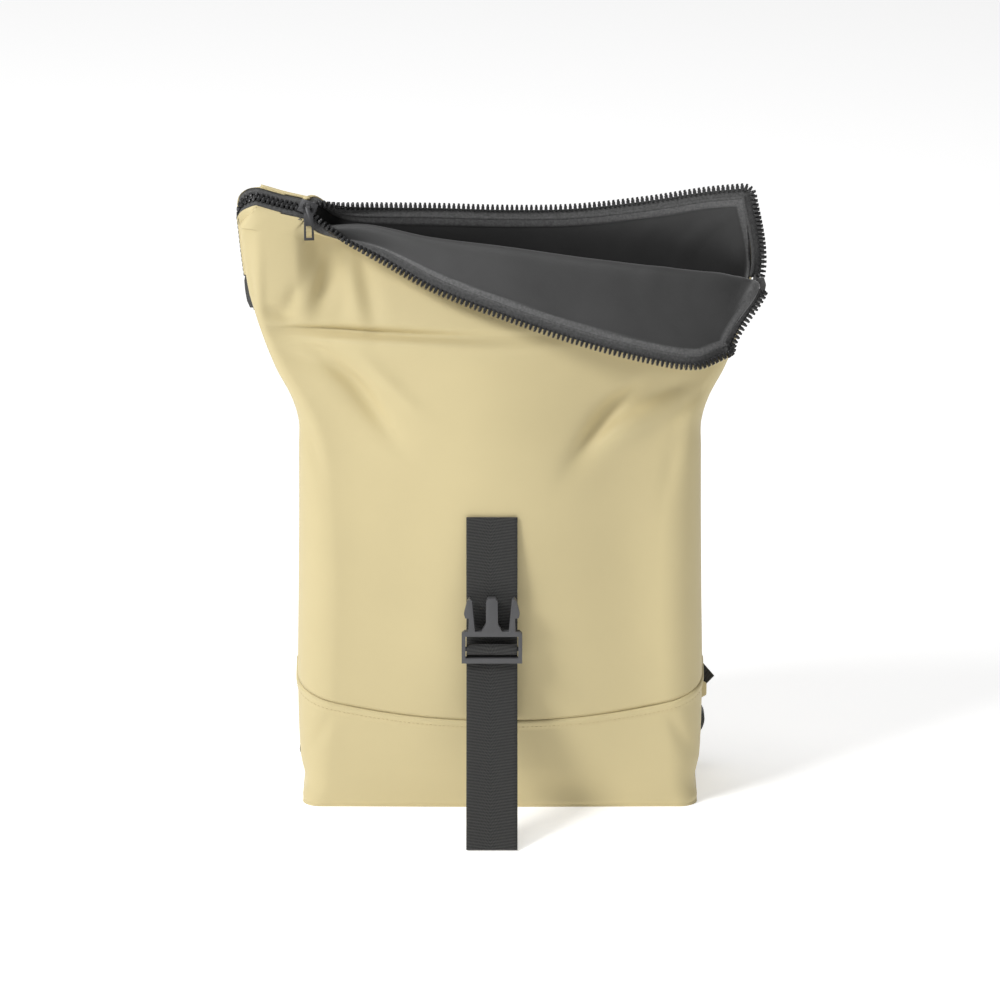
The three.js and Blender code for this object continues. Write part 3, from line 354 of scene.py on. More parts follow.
def sheet_normals(grid, ring=False):
    if ring:
        across = np.roll(grid, -1, axis=1) - np.roll(grid, 1, axis=1)
    else:
        across = np.gradient(grid, axis=1, edge_order=2)
    return unit(np.cross(across, np.gradient(grid, axis=0, edge_order=2)))


def make_piece(name, points, faces, uvs=None, finish=None, body="bag", smooth=True):
    """A piece from points in millimetres, one UV pair in metres for each point, and a finish."""
    mesh = bpy.data.meshes.new(name)
    mesh.from_pydata((np.asarray(points).reshape(-1, 3) * 0.001).tolist(), [], faces)
    mesh.update()
    check = bmesh.new()
    check.from_mesh(mesh)
    if check.calc_volume(signed=True) < 0:
        bmesh.ops.reverse_faces(check, faces=check.faces)
    check.to_mesh(mesh)
    check.free()
    if uvs is not None:
        layer = mesh.uv_layers.new(name="UVMap")
        corners = np.zeros(len(mesh.loops), dtype=np.int32)
        mesh.loops.foreach_get("vertex_index", corners)
        layer.data.foreach_set("uv", np.asarray(uvs, dtype=float).reshape(-1, 2)[corners].ravel())
    mesh.polygons.foreach_set("use_smooth", np.full(len(mesh.polygons), smooth))
    if finish:
        mesh.materials.append(finish)
    piece = add_object(name, mesh)
    if body:
        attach(piece, body)
    return piece


def layered(name, layers, finish, uv=None, ring=False, **more):
    """A closed piece between a near and a far layer of points on one grid. A ring closes along its rows."""
    near, far = layers
    rows, count = near.shape[:2]
    ids = np.arange(rows * count).reshape(rows, count)
    a = ids[:-1, :] if ring else ids[:-1, :-1]
    b = np.roll(ids, -1, axis=1)[:-1, :] if ring else ids[:-1, 1:]
    c = np.roll(ids, -1, axis=1)[1:, :] if ring else ids[1:, 1:]
    d = ids[1:, :] if ring else ids[1:, :-1]
    top = rows * count
    faces = np.stack([a, b, c, d], axis=-1).reshape(-1, 4).tolist()
    faces += (np.stack([d, c, b, a], axis=-1).reshape(-1, 4) + top).tolist()
    rims = [ids[0], ids[-1]] if ring else [ids[0], ids[-1], ids[:, 0], ids[:, -1]]
    for turn, rim in enumerate(rims):
        ahead = np.roll(rim, -1) if ring else rim[1:]
        here = rim if ring else rim[:-1]
        quads = np.stack([here, here + top, ahead + top, ahead], axis=-1)
        faces += (quads if turn in (0, 3) else quads[:, ::-1]).tolist()
    if uv is None:
        lengths = np.linalg.norm(np.diff(near, axis=0), axis=-1)
        up = np.vstack([np.zeros(count), np.cumsum(lengths, axis=0)])
        over = np.linalg.norm(np.diff(near[rows // 3], axis=0), axis=-1)
        uv = np.stack(np.broadcast_arrays(np.append(0, np.cumsum(over))[None, :], up), axis=-1) * 0.001
    return make_piece(name, np.concatenate([near.reshape(-1, 3), far.reshape(-1, 3)]), faces,
                      np.concatenate([uv.reshape(-1, 2)] * 2), finish, **more)


def new_finish(name, colour, roughness, **values):
    finish = bpy.data.materials.new(name)
    finish.use_nodes = True
    shader = finish.node_tree.nodes["Principled BSDF"]
    shader.inputs["Base Color"].default_value = (*colour, 1.0)
    shader.inputs["Roughness"].default_value = roughness
    for label, value in values.items():
        shader.inputs[label.replace("_", " ")].default_value = value
    return finish, finish.node_tree, shader


def node(tree, kind, inputs=None, **settings):
    made = tree.nodes.new(kind)
    for label, value in settings.items():
        setattr(made, label, value)
    for label, value in (inputs or {}).items():
        socket = made.inputs[label]
        if isinstance(value, bpy.types.NodeSocket):
            tree.links.new(value, socket)
        else:
            socket.default_value = value
    return made


def maths(tree, operation, a, b=0.0, c=0.0):
    return node(tree, "ShaderNodeMath", {0: a, 1: b, 2: c}, operation=operation).outputs[0]


def grain_group():
    """Fine grain and slow mottling of a sheet, as a colour factor and a height, from its coordinates."""
    group = bpy.data.node_groups.new("cloth_grain", "ShaderNodeTree")
    group.interface.new_socket("Place", in_out="INPUT", socket_type="NodeSocketVector")
    group.interface.new_socket("Grain size", in_out="INPUT", socket_type="NodeSocketFloat")
    group.interface.new_socket("Tint", in_out="OUTPUT", socket_type="NodeSocketFloat")
    group.interface.new_socket("Height", in_out="OUTPUT", socket_type="NodeSocketFloat")
    given = group.nodes.new("NodeGroupInput")
    result = group.nodes.new("NodeGroupOutput")
    place = given.outputs["Place"]
    size = given.outputs["Grain size"]
    fine = node(group, "ShaderNodeTexNoise",
                {"Vector": place, "Scale": size, "Detail": 3.0, "Roughness": 0.6})
    slow = node(group, "ShaderNodeTexNoise", {"Vector": place, "Scale": 14.0, "Detail": 4.0})
    tint = maths(group, "MULTIPLY_ADD", slow.outputs["Fac"], 0.1, 0.95)
    group.links.new(tint, result.inputs["Tint"])
    group.links.new(fine.outputs["Fac"], result.inputs["Height"])
    return group


GRAIN = grain_group()


def shade_between(tree, factor, dark, light, **settings):
    """A colour between two others, which are sockets or grey, or red, green and blue."""
    colours = {}
    for slot, colour in ((6, dark), (7, light)):
        if isinstance(colour, float):
            colour = (colour, colour, colour)
        colours[slot] = (*colour, 1.0) if isinstance(colour, tuple) else colour
    return node(tree, "ShaderNodeMix", {"Factor": factor, **colours}, data_type="RGBA", **settings).outputs[2]


def raise_surface(tree, shader, strength, distance, height):
    bump = node(tree, "ShaderNodeBump", {"Strength": strength, "Distance": distance, "Height": height})
    tree.links.new(bump.outputs["Normal"], shader.inputs["Normal"])


def grained(name, colour, roughness, size, bump, distance, **values):
    finish, tree, shader = new_finish(name, colour, roughness, **values)
    place = node(tree, "ShaderNodeTexCoord").outputs["Object"]
    grain = node(tree, "ShaderNodeGroup", node_tree=GRAIN)
    tree.links.new(place, grain.inputs["Place"])
    grain.inputs["Grain size"].default_value = size
    shade = shade_between(tree, 1.0, colour, grain.outputs["Tint"], blend_type="MULTIPLY")
    tree.links.new(shade, shader.inputs["Base Color"])
    raise_surface(tree, shader, bump, distance, grain.outputs["Height"])
    return finish


canvas = grained("coated_canvas", (0.62, 0.525, 0.29), 0.6, 1500.0, 0.25, 0.0002,
                 Sheen_Weight=0.12, Sheen_Roughness=0.5, Specular_IOR_Level=0.35)

COLUMNS = 211
SLACK = 0.35
spread = np.linspace(-1, 1, COLUMNS)
grids = {"front": front_sheet(spread), "back": back_sheet(spread[::-1])}
normals = {name: sheet_normals(grid) for name, grid in grids.items()}
for name, grid in grids.items():
    out = normals[name]
    puff = SLACK * np.sin(grid[..., 2] * 0.045 + 2.1 * np.sin(grid[..., 0] * 0.021))
    level = np.arange(len(grid))
    crest = FRONT_ROWS[0] + FRONT_ROWS[1] if name == "front" else len(grid)
    fade = (np.clip(level / 12, 0, 1) * np.clip((crest - 4 - level) / 10, 0, 1))[:, None]
    fade = fade * (1 - (grid[..., 0] / np.abs(grid[..., 0]).max(axis=1, keepdims=True)) ** 14)
    if name == "front":
        puff = puff - fold_depth(FINE_FOLDS, grid[..., 0], grid[..., 2])
    sunk = np.minimum(puff, 0)[..., None] * fade[..., None] * out
    shown = grid + (puff * fade)[..., None] * out
    piece = layered(name + "_cloth", (shown, grid - out * SHELL + sunk), canvas)
    grids[name] = grid + sunk
    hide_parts(name + "_panel")


# Linings. A thin dark twill hangs just inside each panel and is sewn in with the zip. Along the zip the fuzzy
# grey tape lies on it as a raised band.
BAND_WIDE = 6.0
BAND_THICK = 0.7
WRINKLE_DEEP = 0.5


def lining_finish():
    """Smooth dark twill, with the fuzzy grey zip tape where the sheet's band attribute is 1."""
    finish, tree, shader = new_finish("lining_twill", (0.06, 0.06, 0.06), 0.55,
                                      Sheen_Weight=0.35, Sheen_Roughness=0.35)
    band = node(tree, "ShaderNodeAttribute", attribute_name="band").outputs["Fac"]
    parts = node(tree, "ShaderNodeSeparateXYZ", {"Vector": node(tree, "ShaderNodeUVMap").outputs[0]})
    slope = maths(tree, "ADD", parts.outputs["X"], parts.outputs["Y"])
    twill = maths(tree, "SINE", maths(tree, "MULTIPLY", slope, 2 * math.pi / 0.0011))
    place = node(tree, "ShaderNodeTexCoord").outputs["Object"]
    soft = node(tree, "ShaderNodeTexNoise", {"Vector": place, "Scale": 26.0, "Detail": 5.0})
    fuzz = node(tree, "ShaderNodeTexNoise",
                {"Vector": place, "Scale": 520.0, "Detail": 4.0, "Roughness": 0.75})
    plain = shade_between(tree, soft.outputs["Fac"], 0.024, 0.046)
    tape = shade_between(tree, fuzz.outputs["Fac"], 0.0, 0.2)
    tree.links.new(shade_between(tree, band, plain, tape), shader.inputs["Base Color"])
    fine = maths(tree, "MULTIPLY_ADD", twill, 0.15, soft.outputs["Fac"])
    height = node(tree, "ShaderNodeMix", {"Factor": band, 2: fine, 3: fuzz.outputs["Fac"]})
    raise_surface(tree, shader, 0.35, 0.0006, height.outputs[0])
    return finish


lining = lining_finish()


def edge_distance(grid, side):
    """How far each point is from the zip's edge, along its column, or along its row beside an open side."""
    steps_up = np.linalg.norm(np.diff(grid, axis=0), axis=-1)
    from_top = np.vstack([np.cumsum(steps_up[::-1], axis=0)[::-1], np.zeros(grid.shape[1])])
    steps_over = np.linalg.norm(np.diff(grid, axis=1), axis=-1)
    right = np.hstack([np.cumsum(steps_over[:, ::-1], axis=1)[:, ::-1], np.zeros((len(grid), 1))])
    left = np.hstack([np.zeros((len(grid), 1)), np.cumsum(steps_over, axis=1)])
    above = ease(grid[..., 2], ZIP_END - 25, ZIP_END - 10)
    if side < 0:
        lapel = np.arange(len(grid))[:, None] >= FRONT_ROWS[0] + FRONT_ROWS[1] - 2
        above = np.where(lapel, 1.0, above)
    return np.minimum(from_top, np.minimum(right, left) + (1 - above) * 100)


for name, grid in grids.items():
    distance = edge_distance(grid, -1 if name == "front" else 1)
    band = 1 - ease(distance, BAND_WIDE - 0.6, BAND_WIDE + 0.6)
    wander = 3 * np.sin(grid[..., 2] * 0.05) + 2 * np.sin(grid[..., 1] * 0.09)
    wrinkle = WRINKLE_DEEP * np.sin(grid[..., 0] * 0.16 + wander)
    wrinkle = wrinkle * ease(grid[..., 0], 60, 150) * (1 - band) * ease(distance, BAND_WIDE, 3 * BAND_WIDE)
    depth = (BODY_WALL + BAND_THICK * band + np.maximum(wrinkle, 0))[..., None]
    looks = normals[name]
    if name == "back":
        # The back sheet turns sharply beside the slider, and the lining follows it there on a gentler line
        gentle = unit(sum(np.roll(looks, step, axis=1) for step in range(-9, 10)))
        beside = np.exp(-((grid[..., 0] - SLIDER_AT * STRAIGHT_TOP) / 18) ** 4)
        beside = beside * ease(grid[..., 2], CREASE, SHOULDER)
        looks = unit(mix(looks, gentle, beside[..., None]))
    hidden = grid - looks * (BODY_WALL - LINING)
    piece = layered(name + "_lining", (hidden, grid - looks * depth), lining)
    values = piece.data.attributes.new("band", "FLOAT", "POINT")
    values.data.foreach_set("value", np.concatenate([band.ravel(), band.ravel()]))
    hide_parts("lining_" + name)


# Base band and bottom. A ring of the same canvas from the ground to a curved seam, whose turned edge stands a
# little proud of the panels that it is sewn over. The stiffened bottom has the same cover.
BAND_COLUMNS = 240
EDGE_PROUD = 1.3
FOOT_ROUND = 4.0
half_ring = np.linspace(-1, 1, BAND_COLUMNS + 1)[:-1]
levels = np.array([0.0, 0.004, 0.012, 0.024, 0.04, *np.linspace(0.06, 0.93, 34), 0.965, 0.985, 1.0])


def band_ring(side):
    s = half_ring * -side
    top = seam_height(s) - 0.3
    z = levels[:, None] * top[None, :]
    points = section_point(s[None, :] + 0 * z, z, side)
    if side < 0:
        points[..., 1] += fold_depth(FINE_FOLDS, points[..., 0], z)
    return points


band_grid = np.concatenate([band_ring(-1), band_ring(1)], axis=1)
band_out = sheet_normals(band_grid, ring=True)
turned_edge = EDGE_PROUD * ease(levels, 0.9, 0.965) * (1 - 0.6 * ease(levels, 0.985, 1.0))
foot = FOOT_ROUND * (1 - levels / 0.07).clip(0) ** 2
proud = turned_edge - foot
outer = band_grid + band_out * proud[:, None, None]
outer[..., 2] = np.maximum(outer[..., 2], 0)
inner = band_grid - band_out * SHELL
inner[..., 2] = np.maximum(inner[..., 2], 0)
base_cloth = layered("base_band_cloth", (outer, inner), canvas, ring=True)
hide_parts("base_band")
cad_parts["base_plate"].data.materials.clear()
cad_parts["base_plate"].data.materials.append(canvas)


# Seam stitches. One row of tan thread just below the band's turned edge. Each stitch is a small rounded
# length of thread, and copies of it are set along the row and turned the way it runs.
tan_thread = grained("tan_thread", (0.60, 0.50, 0.28), 0.7, 3000.0, 0.3, 0.0002)


def repeat_tree():
    tree = bpy.data.node_groups.new("set_along_row", "GeometryNodeTree")
    tree.interface.new_socket("Geometry", in_out="INPUT", socket_type="NodeSocketGeometry")
    tree.interface.new_socket("Sample", in_out="INPUT", socket_type="NodeSocketObject")
    tree.interface.new_socket("Finish", in_out="INPUT", socket_type="NodeSocketMaterial")
    tree.interface.new_socket("Geometry", in_out="OUTPUT", socket_type="NodeSocketGeometry")
    given = tree.nodes.new("NodeGroupInput")
    result = tree.nodes.new("NodeGroupOutput")
    sample = node(tree, "GeometryNodeObjectInfo", {"Object": given.outputs["Sample"], "As Instance": True})
    along = node(tree, "GeometryNodeInputNamedAttribute", {"Name": "along"}, data_type="FLOAT_VECTOR")
    out = node(tree, "GeometryNodeInputNamedAttribute", {"Name": "out"}, data_type="FLOAT_VECTOR")
    turned = node(tree, "FunctionNodeAxesToRotation", {"Primary Axis": along.outputs["Attribute"],
                                                       "Secondary Axis": out.outputs["Attribute"]},
                  primary_axis="X", secondary_axis="Z")
    placed = node(tree, "GeometryNodeInstanceOnPoints", {"Points": given.outputs["Geometry"],
                                                         "Instance": sample.outputs["Geometry"],
                                                         "Rotation": turned.outputs["Rotation"]})
    whole = node(tree, "GeometryNodeRealizeInstances", {"Geometry": placed.outputs["Instances"]})
    dressed = node(tree, "GeometryNodeSetMaterial", {"Geometry": whole.outputs["Geometry"],
                                                     "Material": given.outputs["Finish"]})
    tree.links.new(dressed.outputs["Geometry"], result.inputs["Geometry"])
    return tree


REPEAT = repeat_tree()


def set_along(name, at, along, out, sample, finish, body="bag"):
    row_mesh = bpy.data.meshes.new(name + "_row")
    row_mesh.from_pydata((at * 0.001).tolist(), [], [])
    for label, values in (("along", along), ("out", out)):
        row_mesh.attributes.new(label, "FLOAT_VECTOR", "POINT").data.foreach_set("vector", values.ravel())
    row = add_object(name + "_row", row_mesh)
    bpy.context.scene.collection.objects.link(sample)
    modifier = row.modifiers.new("set_along", "NODES")
    modifier.node_group = REPEAT
    sockets = {item.name: item.identifier for item in REPEAT.interface.items_tree if item.in_out == "INPUT"}
    modifier[sockets["Sample"]] = sample
    modifier[sockets["Finish"]] = finish
    shown = row.evaluated_get(bpy.context.evaluated_depsgraph_get())
    mesh = bpy.data.meshes.new_from_object(shown)
    mesh.name = name
    row.modifiers.clear()
    bpy.data.objects.remove(row)
    bpy.context.scene.collection.objects.unlink(sample)
    mesh.polygons.foreach_set("use_smooth", np.full(len(mesh.polygons), True))
    piece = add_object(name, mesh)
    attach(piece, body)
    return piece


def evenly(line, out, pitch, start=0.0):
    """Places along a line at one pitch, with the way it runs and the way its surface looks there."""
    lengths = np.append(0, np.cumsum(np.linalg.norm(np.diff(line, axis=0), axis=-1)))
    marks = np.arange(start, lengths[-1], pitch)

    def taken(values, marks):
        return np.stack([np.interp(marks, lengths, values[:, k]) for k in range(3)], axis=-1)

    ahead = taken(line, marks + 0.5)
    return taken(line, marks), unit(ahead - taken(line, marks - 0.5)), unit(taken(out, marks))


def stitch_sample(long, thick):
    shape = bmesh.new()
    bmesh.ops.create_uvsphere(shape, u_segments=8, v_segments=6, radius=0.5)
    bmesh.ops.rotate(shape, verts=shape.verts, matrix=Matrix.Rotation(math.pi / 2, 3, "Y"))
    bmesh.ops.scale(shape, verts=shape.verts, vec=(long * 0.001, thick * 0.001, thick * 0.0008))
    mesh = bpy.data.meshes.new("stitch")
    shape.to_mesh(mesh)
    shape.free()
    return bpy.data.objects.new("stitch", mesh)


SEAM_PITCH = 3.3
seam_stitch = stitch_sample(2.4, 0.55)
level = int(np.argmin(np.abs(levels - 0.955)))
seam_row = outer[level - 1] + band_out[level - 1] * 0.12
seam_looks = band_out[level - 1]
for name, picked in (("front", slice(0, BAND_COLUMNS)), ("back", slice(BAND_COLUMNS, None))):
    row = evenly(seam_row[picked], seam_looks[picked], SEAM_PITCH)
    set_along(name + "_seam_stitches", *row, seam_stitch, tan_thread)


# Zip. Two rows of black moulded teeth, clamped on grey woven tape that is sewn to the sheets. They are closed
# up the left side and along the top to the slider, and from there each follows its own sheet to the right.
tooth_black = grained("tooth_plastic", (0.018, 0.018, 0.019), 0.3, 2000.0, 0.05, 0.0001)


def tape_finish():
    """Fuzzy grey tape: matt, mottled and finely raised."""
    finish, tree, shader = new_finish("zip_tape_cloth", (0.1, 0.1, 0.1), 0.95)
    place = node(tree, "ShaderNodeTexCoord").outputs["Object"]
    fuzz = node(tree, "ShaderNodeTexNoise",
                {"Vector": place, "Scale": 560.0, "Detail": 4.0, "Roughness": 0.75}).outputs["Fac"]
    tree.links.new(shade_between(tree, fuzz, 0.0, 0.17), shader.inputs["Base Color"])
    raise_surface(tree, shader, 0.8, 0.0006, fuzz)
    return finish


tape_cloth = tape_finish()


def zip_stations(side):
    name = "front" if side < 0 else "back"
    grid = grids[name] if side < 0 else grids[name][:, ::-1]
    line, up, face = mouth_edge(spread, side)
    foot = max(ZIP_END, grids["front"][FRONT_ROWS[0] + 25, 0, 2])
    z = np.linspace(foot, line[0, 2] - MOUTH_CORNER, 24)
    left = section_point(np.full_like(z, -1.0), z, side)
    left[:, 1] = 0
    angle = np.linspace(0, math.pi / 2, 12)[1:-1, None]
    share = angle / (math.pi / 2)
    low = left[-1]
    corner = np.concatenate([mix(low[0], line[0, 0], 1 - np.cos(angle)), line[0, 1] * share,
                             mix(low[2], line[0, 2], np.sin(angle))], axis=1)
    sideways = np.tile([-1.0, 0, 0], (len(left), 1))
    corner_face = unit(mix(np.array([-1.0, 0, 0]), face[0], share))
    kept = FRONT_ROWS[2] - 7 if side < 0 else BACK_ROWS[1]
    rows = np.arange(len(grid) - 1, len(grid) - 1 - kept, -1)
    edge = grid[rows, -1]
    ahead = grid[np.minimum(rows + 1, len(grid) - 1), -1]
    run = unit(ahead - grid[rows - 1, -1])
    out = edge - grid[rows, -12]
    out = square_to(run, out)
    looks = unit(-side * np.cross(out, run))
    middle = edge - looks * BODY_WALL / 2
    bend = np.linspace(0, math.pi / 2, 10)[1:-1, None]
    turned = unit(up[-1] * np.cos(bend) + out[0] * np.sin(bend))
    at = np.concatenate([left, corner, line, middle[0] + turned * ZIP_HALF, middle + out * ZIP_HALF])
    faces = np.concatenate([sideways, corner_face, face, np.tile(looks[0], (len(bend), 1)), looks])
    run = unit(np.gradient(at, axis=0))
    through = square_to(run, faces)
    return at, -side * np.cross(through, run), through


def tube_faces(rows, count):
    """Faces of a closed tube through rows of points, with a flat end at each side."""
    ids = np.arange(rows * count).reshape(rows, count)
    turned = np.roll(ids, -1, axis=1)
    faces = np.stack([ids[:-1], turned[:-1], turned[1:], ids[1:]], axis=-1).reshape(-1, 4).tolist()
    return faces + [ids[0, ::-1].tolist(), ids[-1].tolist()]


def ribbon(name, at, across, through, section, finish, body="bag"):
    """A strip along stations. section is its closed outline as pairs across and through it, in millimetres,
    one for the whole strip or one for each station."""
    outline = np.asarray(section, dtype=float)
    count = outline.shape[-2]
    outline = np.broadcast_to(outline, (len(at), count, 2))
    points = at[:, None] + across[:, None] * outline[..., :1] + through[:, None] * outline[..., 1:]
    faces = tube_faces(len(at), count)
    along = np.append(0, np.cumsum(np.linalg.norm(np.diff(at, axis=0), axis=-1)))
    uv = np.stack(np.broadcast_arrays(outline[..., 0], along[:, None]), axis=-1) * 0.001
    return make_piece(name, points, faces, uv, finish, body)


def tooth_sample():
    """A moulded tooth: a block that clamps the tape and a narrower rounded head."""
    shape = bmesh.new()
    for size, at in (((2.3, 3.2, 4.4), (0, -2.0, 0)), ((1.65, 2.6, 3.2), (0, -0.1, 0))):
        made = bmesh.ops.create_cube(shape, size=0.001)["verts"]
        bmesh.ops.scale(shape, verts=made, vec=size)
        bmesh.ops.translate(shape, verts=made, vec=[v * 0.001 for v in at])
    bmesh.ops.bevel(shape, geom=shape.edges[:], offset=0.00038, segments=2, affect="EDGES", profile=0.6)
    mesh = bpy.data.meshes.new("tooth")
    shape.to_mesh(mesh)
    shape.free()
    return bpy.data.objects.new("tooth", mesh)


# The tape's outline, across it and out of the sheet. Its inner edge is rolled over the lining's cut edge.
TAPE_SECTION = [(-10.0, 0.5), (-9.7, 0.6), (-2.8, 0.6), (-2.6, 0.0), (-2.8, -0.6), (-7.4, -0.6), (-7.8, -1.9),
                (-8.3, -2.4), (-9.7, -2.4), (-10.2, -1.9), (-10.2, 0.0)]
FLAT_TAPE = (-8.2, -0.6)
ROLL_STARTS = 58
ROLL_FULL = 66
PITCH = 3.6
FIRST_TOOTH = 0.8
tooth = tooth_sample()
for side, name in ((-1, "front"), (1, "back")):
    at, across, through = zip_stations(side)
    # It lies flat where the zip is closed, up to the stations beside the slider
    closed = ease(np.arange(len(at)), ROLL_FULL, ROLL_STARTS)[:, None, None]
    rolled = np.array(TAPE_SECTION)
    sections = mix(rolled, np.maximum(rolled, FLAT_TAPE), closed)
    tape = ribbon(name + "_zip_tape", at, across, through, sections, tape_cloth)
    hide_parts("zip_tape_" + name)
    places, run, looks = evenly(at, through, PITCH, FIRST_TOOTH if side < 0 else FIRST_TOOTH + PITCH / 2)
    teeth = set_along(name + "_zip_teeth", places, run * -side, looks, tooth, tooth_black)
    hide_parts("zip_teeth_" + name)
    # The cloth's rounded corner, from the tape's edge at the side and the corner in to the edge of the sheet
    corner = slice(1, 46)
    rim = (at - across * (ZIP_HALF - 1.0) + through * 1.1)[corner]
    sheet = grids[name] if side < 0 else grids[name][:, ::-1]
    outward = normals[name] if side < 0 else normals[name][:, ::-1]
    middle = sheet - outward * SHELL / 2
    edge = np.concatenate([middle[-80:, 0], middle[-1, :24]])
    nearest = np.argmin(np.linalg.norm(rim[:, None] - edge[None], axis=-1), axis=1)
    seat = edge[nearest] + unit(edge[nearest] - rim) * 1.5
    fan = mix(rim[None], seat[None], np.linspace(0, 1, 6)[:, None, None])
    lift = through[corner][None] * 0.4
    patch = layered(name + "_corner_cloth", (fan + lift, fan - lift), canvas)


# Slider, puller, buckle halves and ladder locks, cast in dark metal or moulded in grey plastic, and the
# folded tabs of tape and cloth at the zip's ends and the band's corners. Each is the solid, rounded.
metal = grained("dark_zip_metal", (0.085, 0.085, 0.088), 0.42, 2500.0, 0.15, 0.0001, Metallic=0.75)
plastic = grained("moulded_plastic", (0.075, 0.075, 0.078), 0.48, 2200.0, 0.2, 0.0001)
# The puller's hinge. It and the changes of shape below are in metres, as the solids are.
PIVOT = np.array([-0.141482, -0.009046, 0.45673])
PIVOT_AXIS = np.array([0.930224, -0.141902, -0.338448])


def hang_straight(places):
    """The puller swivels a little on its eye, so that its plate hangs straight down."""
    away = places - PIVOT
    reach = np.linalg.norm(away, axis=1)
    hangs = unit(away[reach > 0.018].mean(axis=0))
    out = unit(np.cross(PIVOT_AXIS, hangs))
    wanted = np.array([0.03, -0.5, -0.87])
    wanted = unit(wanted - out * np.dot(wanted, out))
    angle = math.atan2(np.dot(np.cross(hangs, wanted), out), np.dot(hangs, wanted))
    turn = (ease(reach, 0.0022, 0.005) * angle)[:, None]
    spun = away * np.cos(turn) + np.cross(out, away) * np.sin(turn)
    spun = spun + np.outer(away @ out, out) * (1 - np.cos(turn))
    return PIVOT + spun * (1 + 0.1 * ease(reach, 0.005, 0.02))[:, None]


def narrow_left(places):
    return places - np.outer(np.minimum(places[:, 0] + 0.182, 0) * 0.5, [1.0, 0, 0])


def lift_right(places):
    return places + np.array([0.002, -0.001, 0.007])


def nearer(places):
    return places - np.array([0.005, 0, 0])


def tuck_in(places):
    return np.column_stack([np.maximum(places[:, 0], -0.146), places[:, 1:]])


def rounded(node_name, width, finish, body="bag", reshape=None, segments=3, angle=35):
    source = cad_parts[node_name]
    mesh = source.data.copy()
    mesh.materials.clear()
    mesh.materials.append(finish)
    piece = add_object(node_name + "_rounded", mesh)
    shape = bmesh.new()
    shape.from_mesh(mesh)
    bmesh.ops.remove_doubles(shape, verts=shape.verts, dist=1e-6)
    bmesh.ops.dissolve_limit(shape, angle_limit=math.radians(2), verts=shape.verts, edges=shape.edges)
    shape.to_mesh(mesh)
    shape.free()
    bevel = piece.modifiers.new("round", "BEVEL")
    bevel.width = width
    bevel.segments = segments
    bevel.limit_method = "ANGLE"
    bevel.angle_limit = math.radians(angle)
    if reshape:
        places = np.array([vertex.co for vertex in mesh.vertices])
        mesh.vertices.foreach_set("co", reshape(places).ravel())
    made = bpy.data.meshes.new_from_object(piece.evaluated_get(bpy.context.evaluated_depsgraph_get()))
    piece.modifiers.clear()
    piece.data = made
    made.polygons.foreach_set("use_smooth", np.full(len(made.polygons), True))
    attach(piece, body)
    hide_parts(node_name)
    return piece


for node_name, width, finish, body, reshape, slot in (
        ("zip_slider", 0.00045, metal, "bag", None, "zip_metal"),
        ("zip_puller", 0.0004, metal, "zip_puller", hang_straight, "zip_metal"),
        ("zip_end_tab_left", 0.0006, tape_cloth, "bag", narrow_left, "webbing"),
        ("zip_end_tab_right", 0.0006, tape_cloth, "bag", lift_right, "webbing"),
        ("buckle_prong_half", 0.0008, plastic, "bag", None, "buckle"),
        ("buckle_socket", 0.0012, plastic, "bag", None, "buckle"),
        ("strap_adjuster_left", 0.0006, plastic, "bag", None, "buckle"),
        ("strap_adjuster_right", 0.0006, plastic, "bag", None, "buckle"),
        ("wing_tab_left", 0.0009, canvas, "bag", tuck_in, "canvas"),
        ("wing_tab_right", 0.0009, canvas, "bag", nearer, "canvas")):
    rounded(node_name, width, finish, body, reshape)


# Front webbing and the buckle's strap. Herringbone webbing 38 mm wide: the upper piece is hemmed and sewn at
# its top and in the seam, and the strap goes through the buckle and hangs to the ground, hemmed at its end.
WEB_AT = -6.0
WEB_WIDE = 38.0
WEB_THICK = 1.6
STRIP_TOP = 231.0
STRIP_BOW = 7.0
STRIP_OUT = 0.3 + WEB_THICK / 2
BUCKLE_LOW = 123.0
TAIL_REACH = 86.0
FOOT = SEAM_LOW + 2 * WEB_THICK


def webbing_finish():
    """Fine ribs that meet in a shallow V, broken up by yarns in the middle, from UVs in metres."""
    finish, tree, shader = new_finish("herringbone_webbing", (0.028, 0.028, 0.027), 0.8, Sheen_Weight=0.15)
    parts = node(tree, "ShaderNodeSeparateXYZ", {"Vector": node(tree, "ShaderNodeUVMap").outputs[0]})
    aside = maths(tree, "ABSOLUTE", maths(tree, "ADD", parts.outputs["X"], 0.001))
    slope = maths(tree, "MULTIPLY_ADD", aside, 0.14, parts.outputs["Y"])
    ribs = maths(tree, "SINE", maths(tree, "MULTIPLY", slope, 2 * math.pi / 0.0023))
    lean = maths(tree, "MULTIPLY_ADD", parts.outputs["Y"], 0.7, aside)
    yarns = maths(tree, "SINE", maths(tree, "MULTIPLY", lean, 2 * math.pi / 0.0021))
    middle = maths(tree, "MAXIMUM", maths(tree, "MULTIPLY_ADD", aside, -80.0, 1.0), 0.15)
    height = maths(tree, "MULTIPLY_ADD", yarns, middle, ribs)
    level = maths(tree, "MULTIPLY_ADD", height, 0.27, 0.25)
    fuzz = node(tree, "ShaderNodeTexNoise", {"Vector": node(tree, "ShaderNodeTexCoord").outputs["Object"],
                                            "Scale": 900.0, "Detail": 2.0})
    rough = maths(tree, "MULTIPLY_ADD", fuzz.outputs["Fac"], 0.5, level)
    shade = shade_between(tree, rough, (0.007, 0.007, 0.0065), (0.042, 0.042, 0.04))
    tree.links.new(shade, shader.inputs["Base Color"])
    raise_surface(tree, shader, 0.8, 0.0004, rough)
    return finish


webbing = webbing_finish()
dark_thread = grained("dark_thread", (0.10, 0.10, 0.10), 0.8, 3000.0, 0.3, 0.0002)


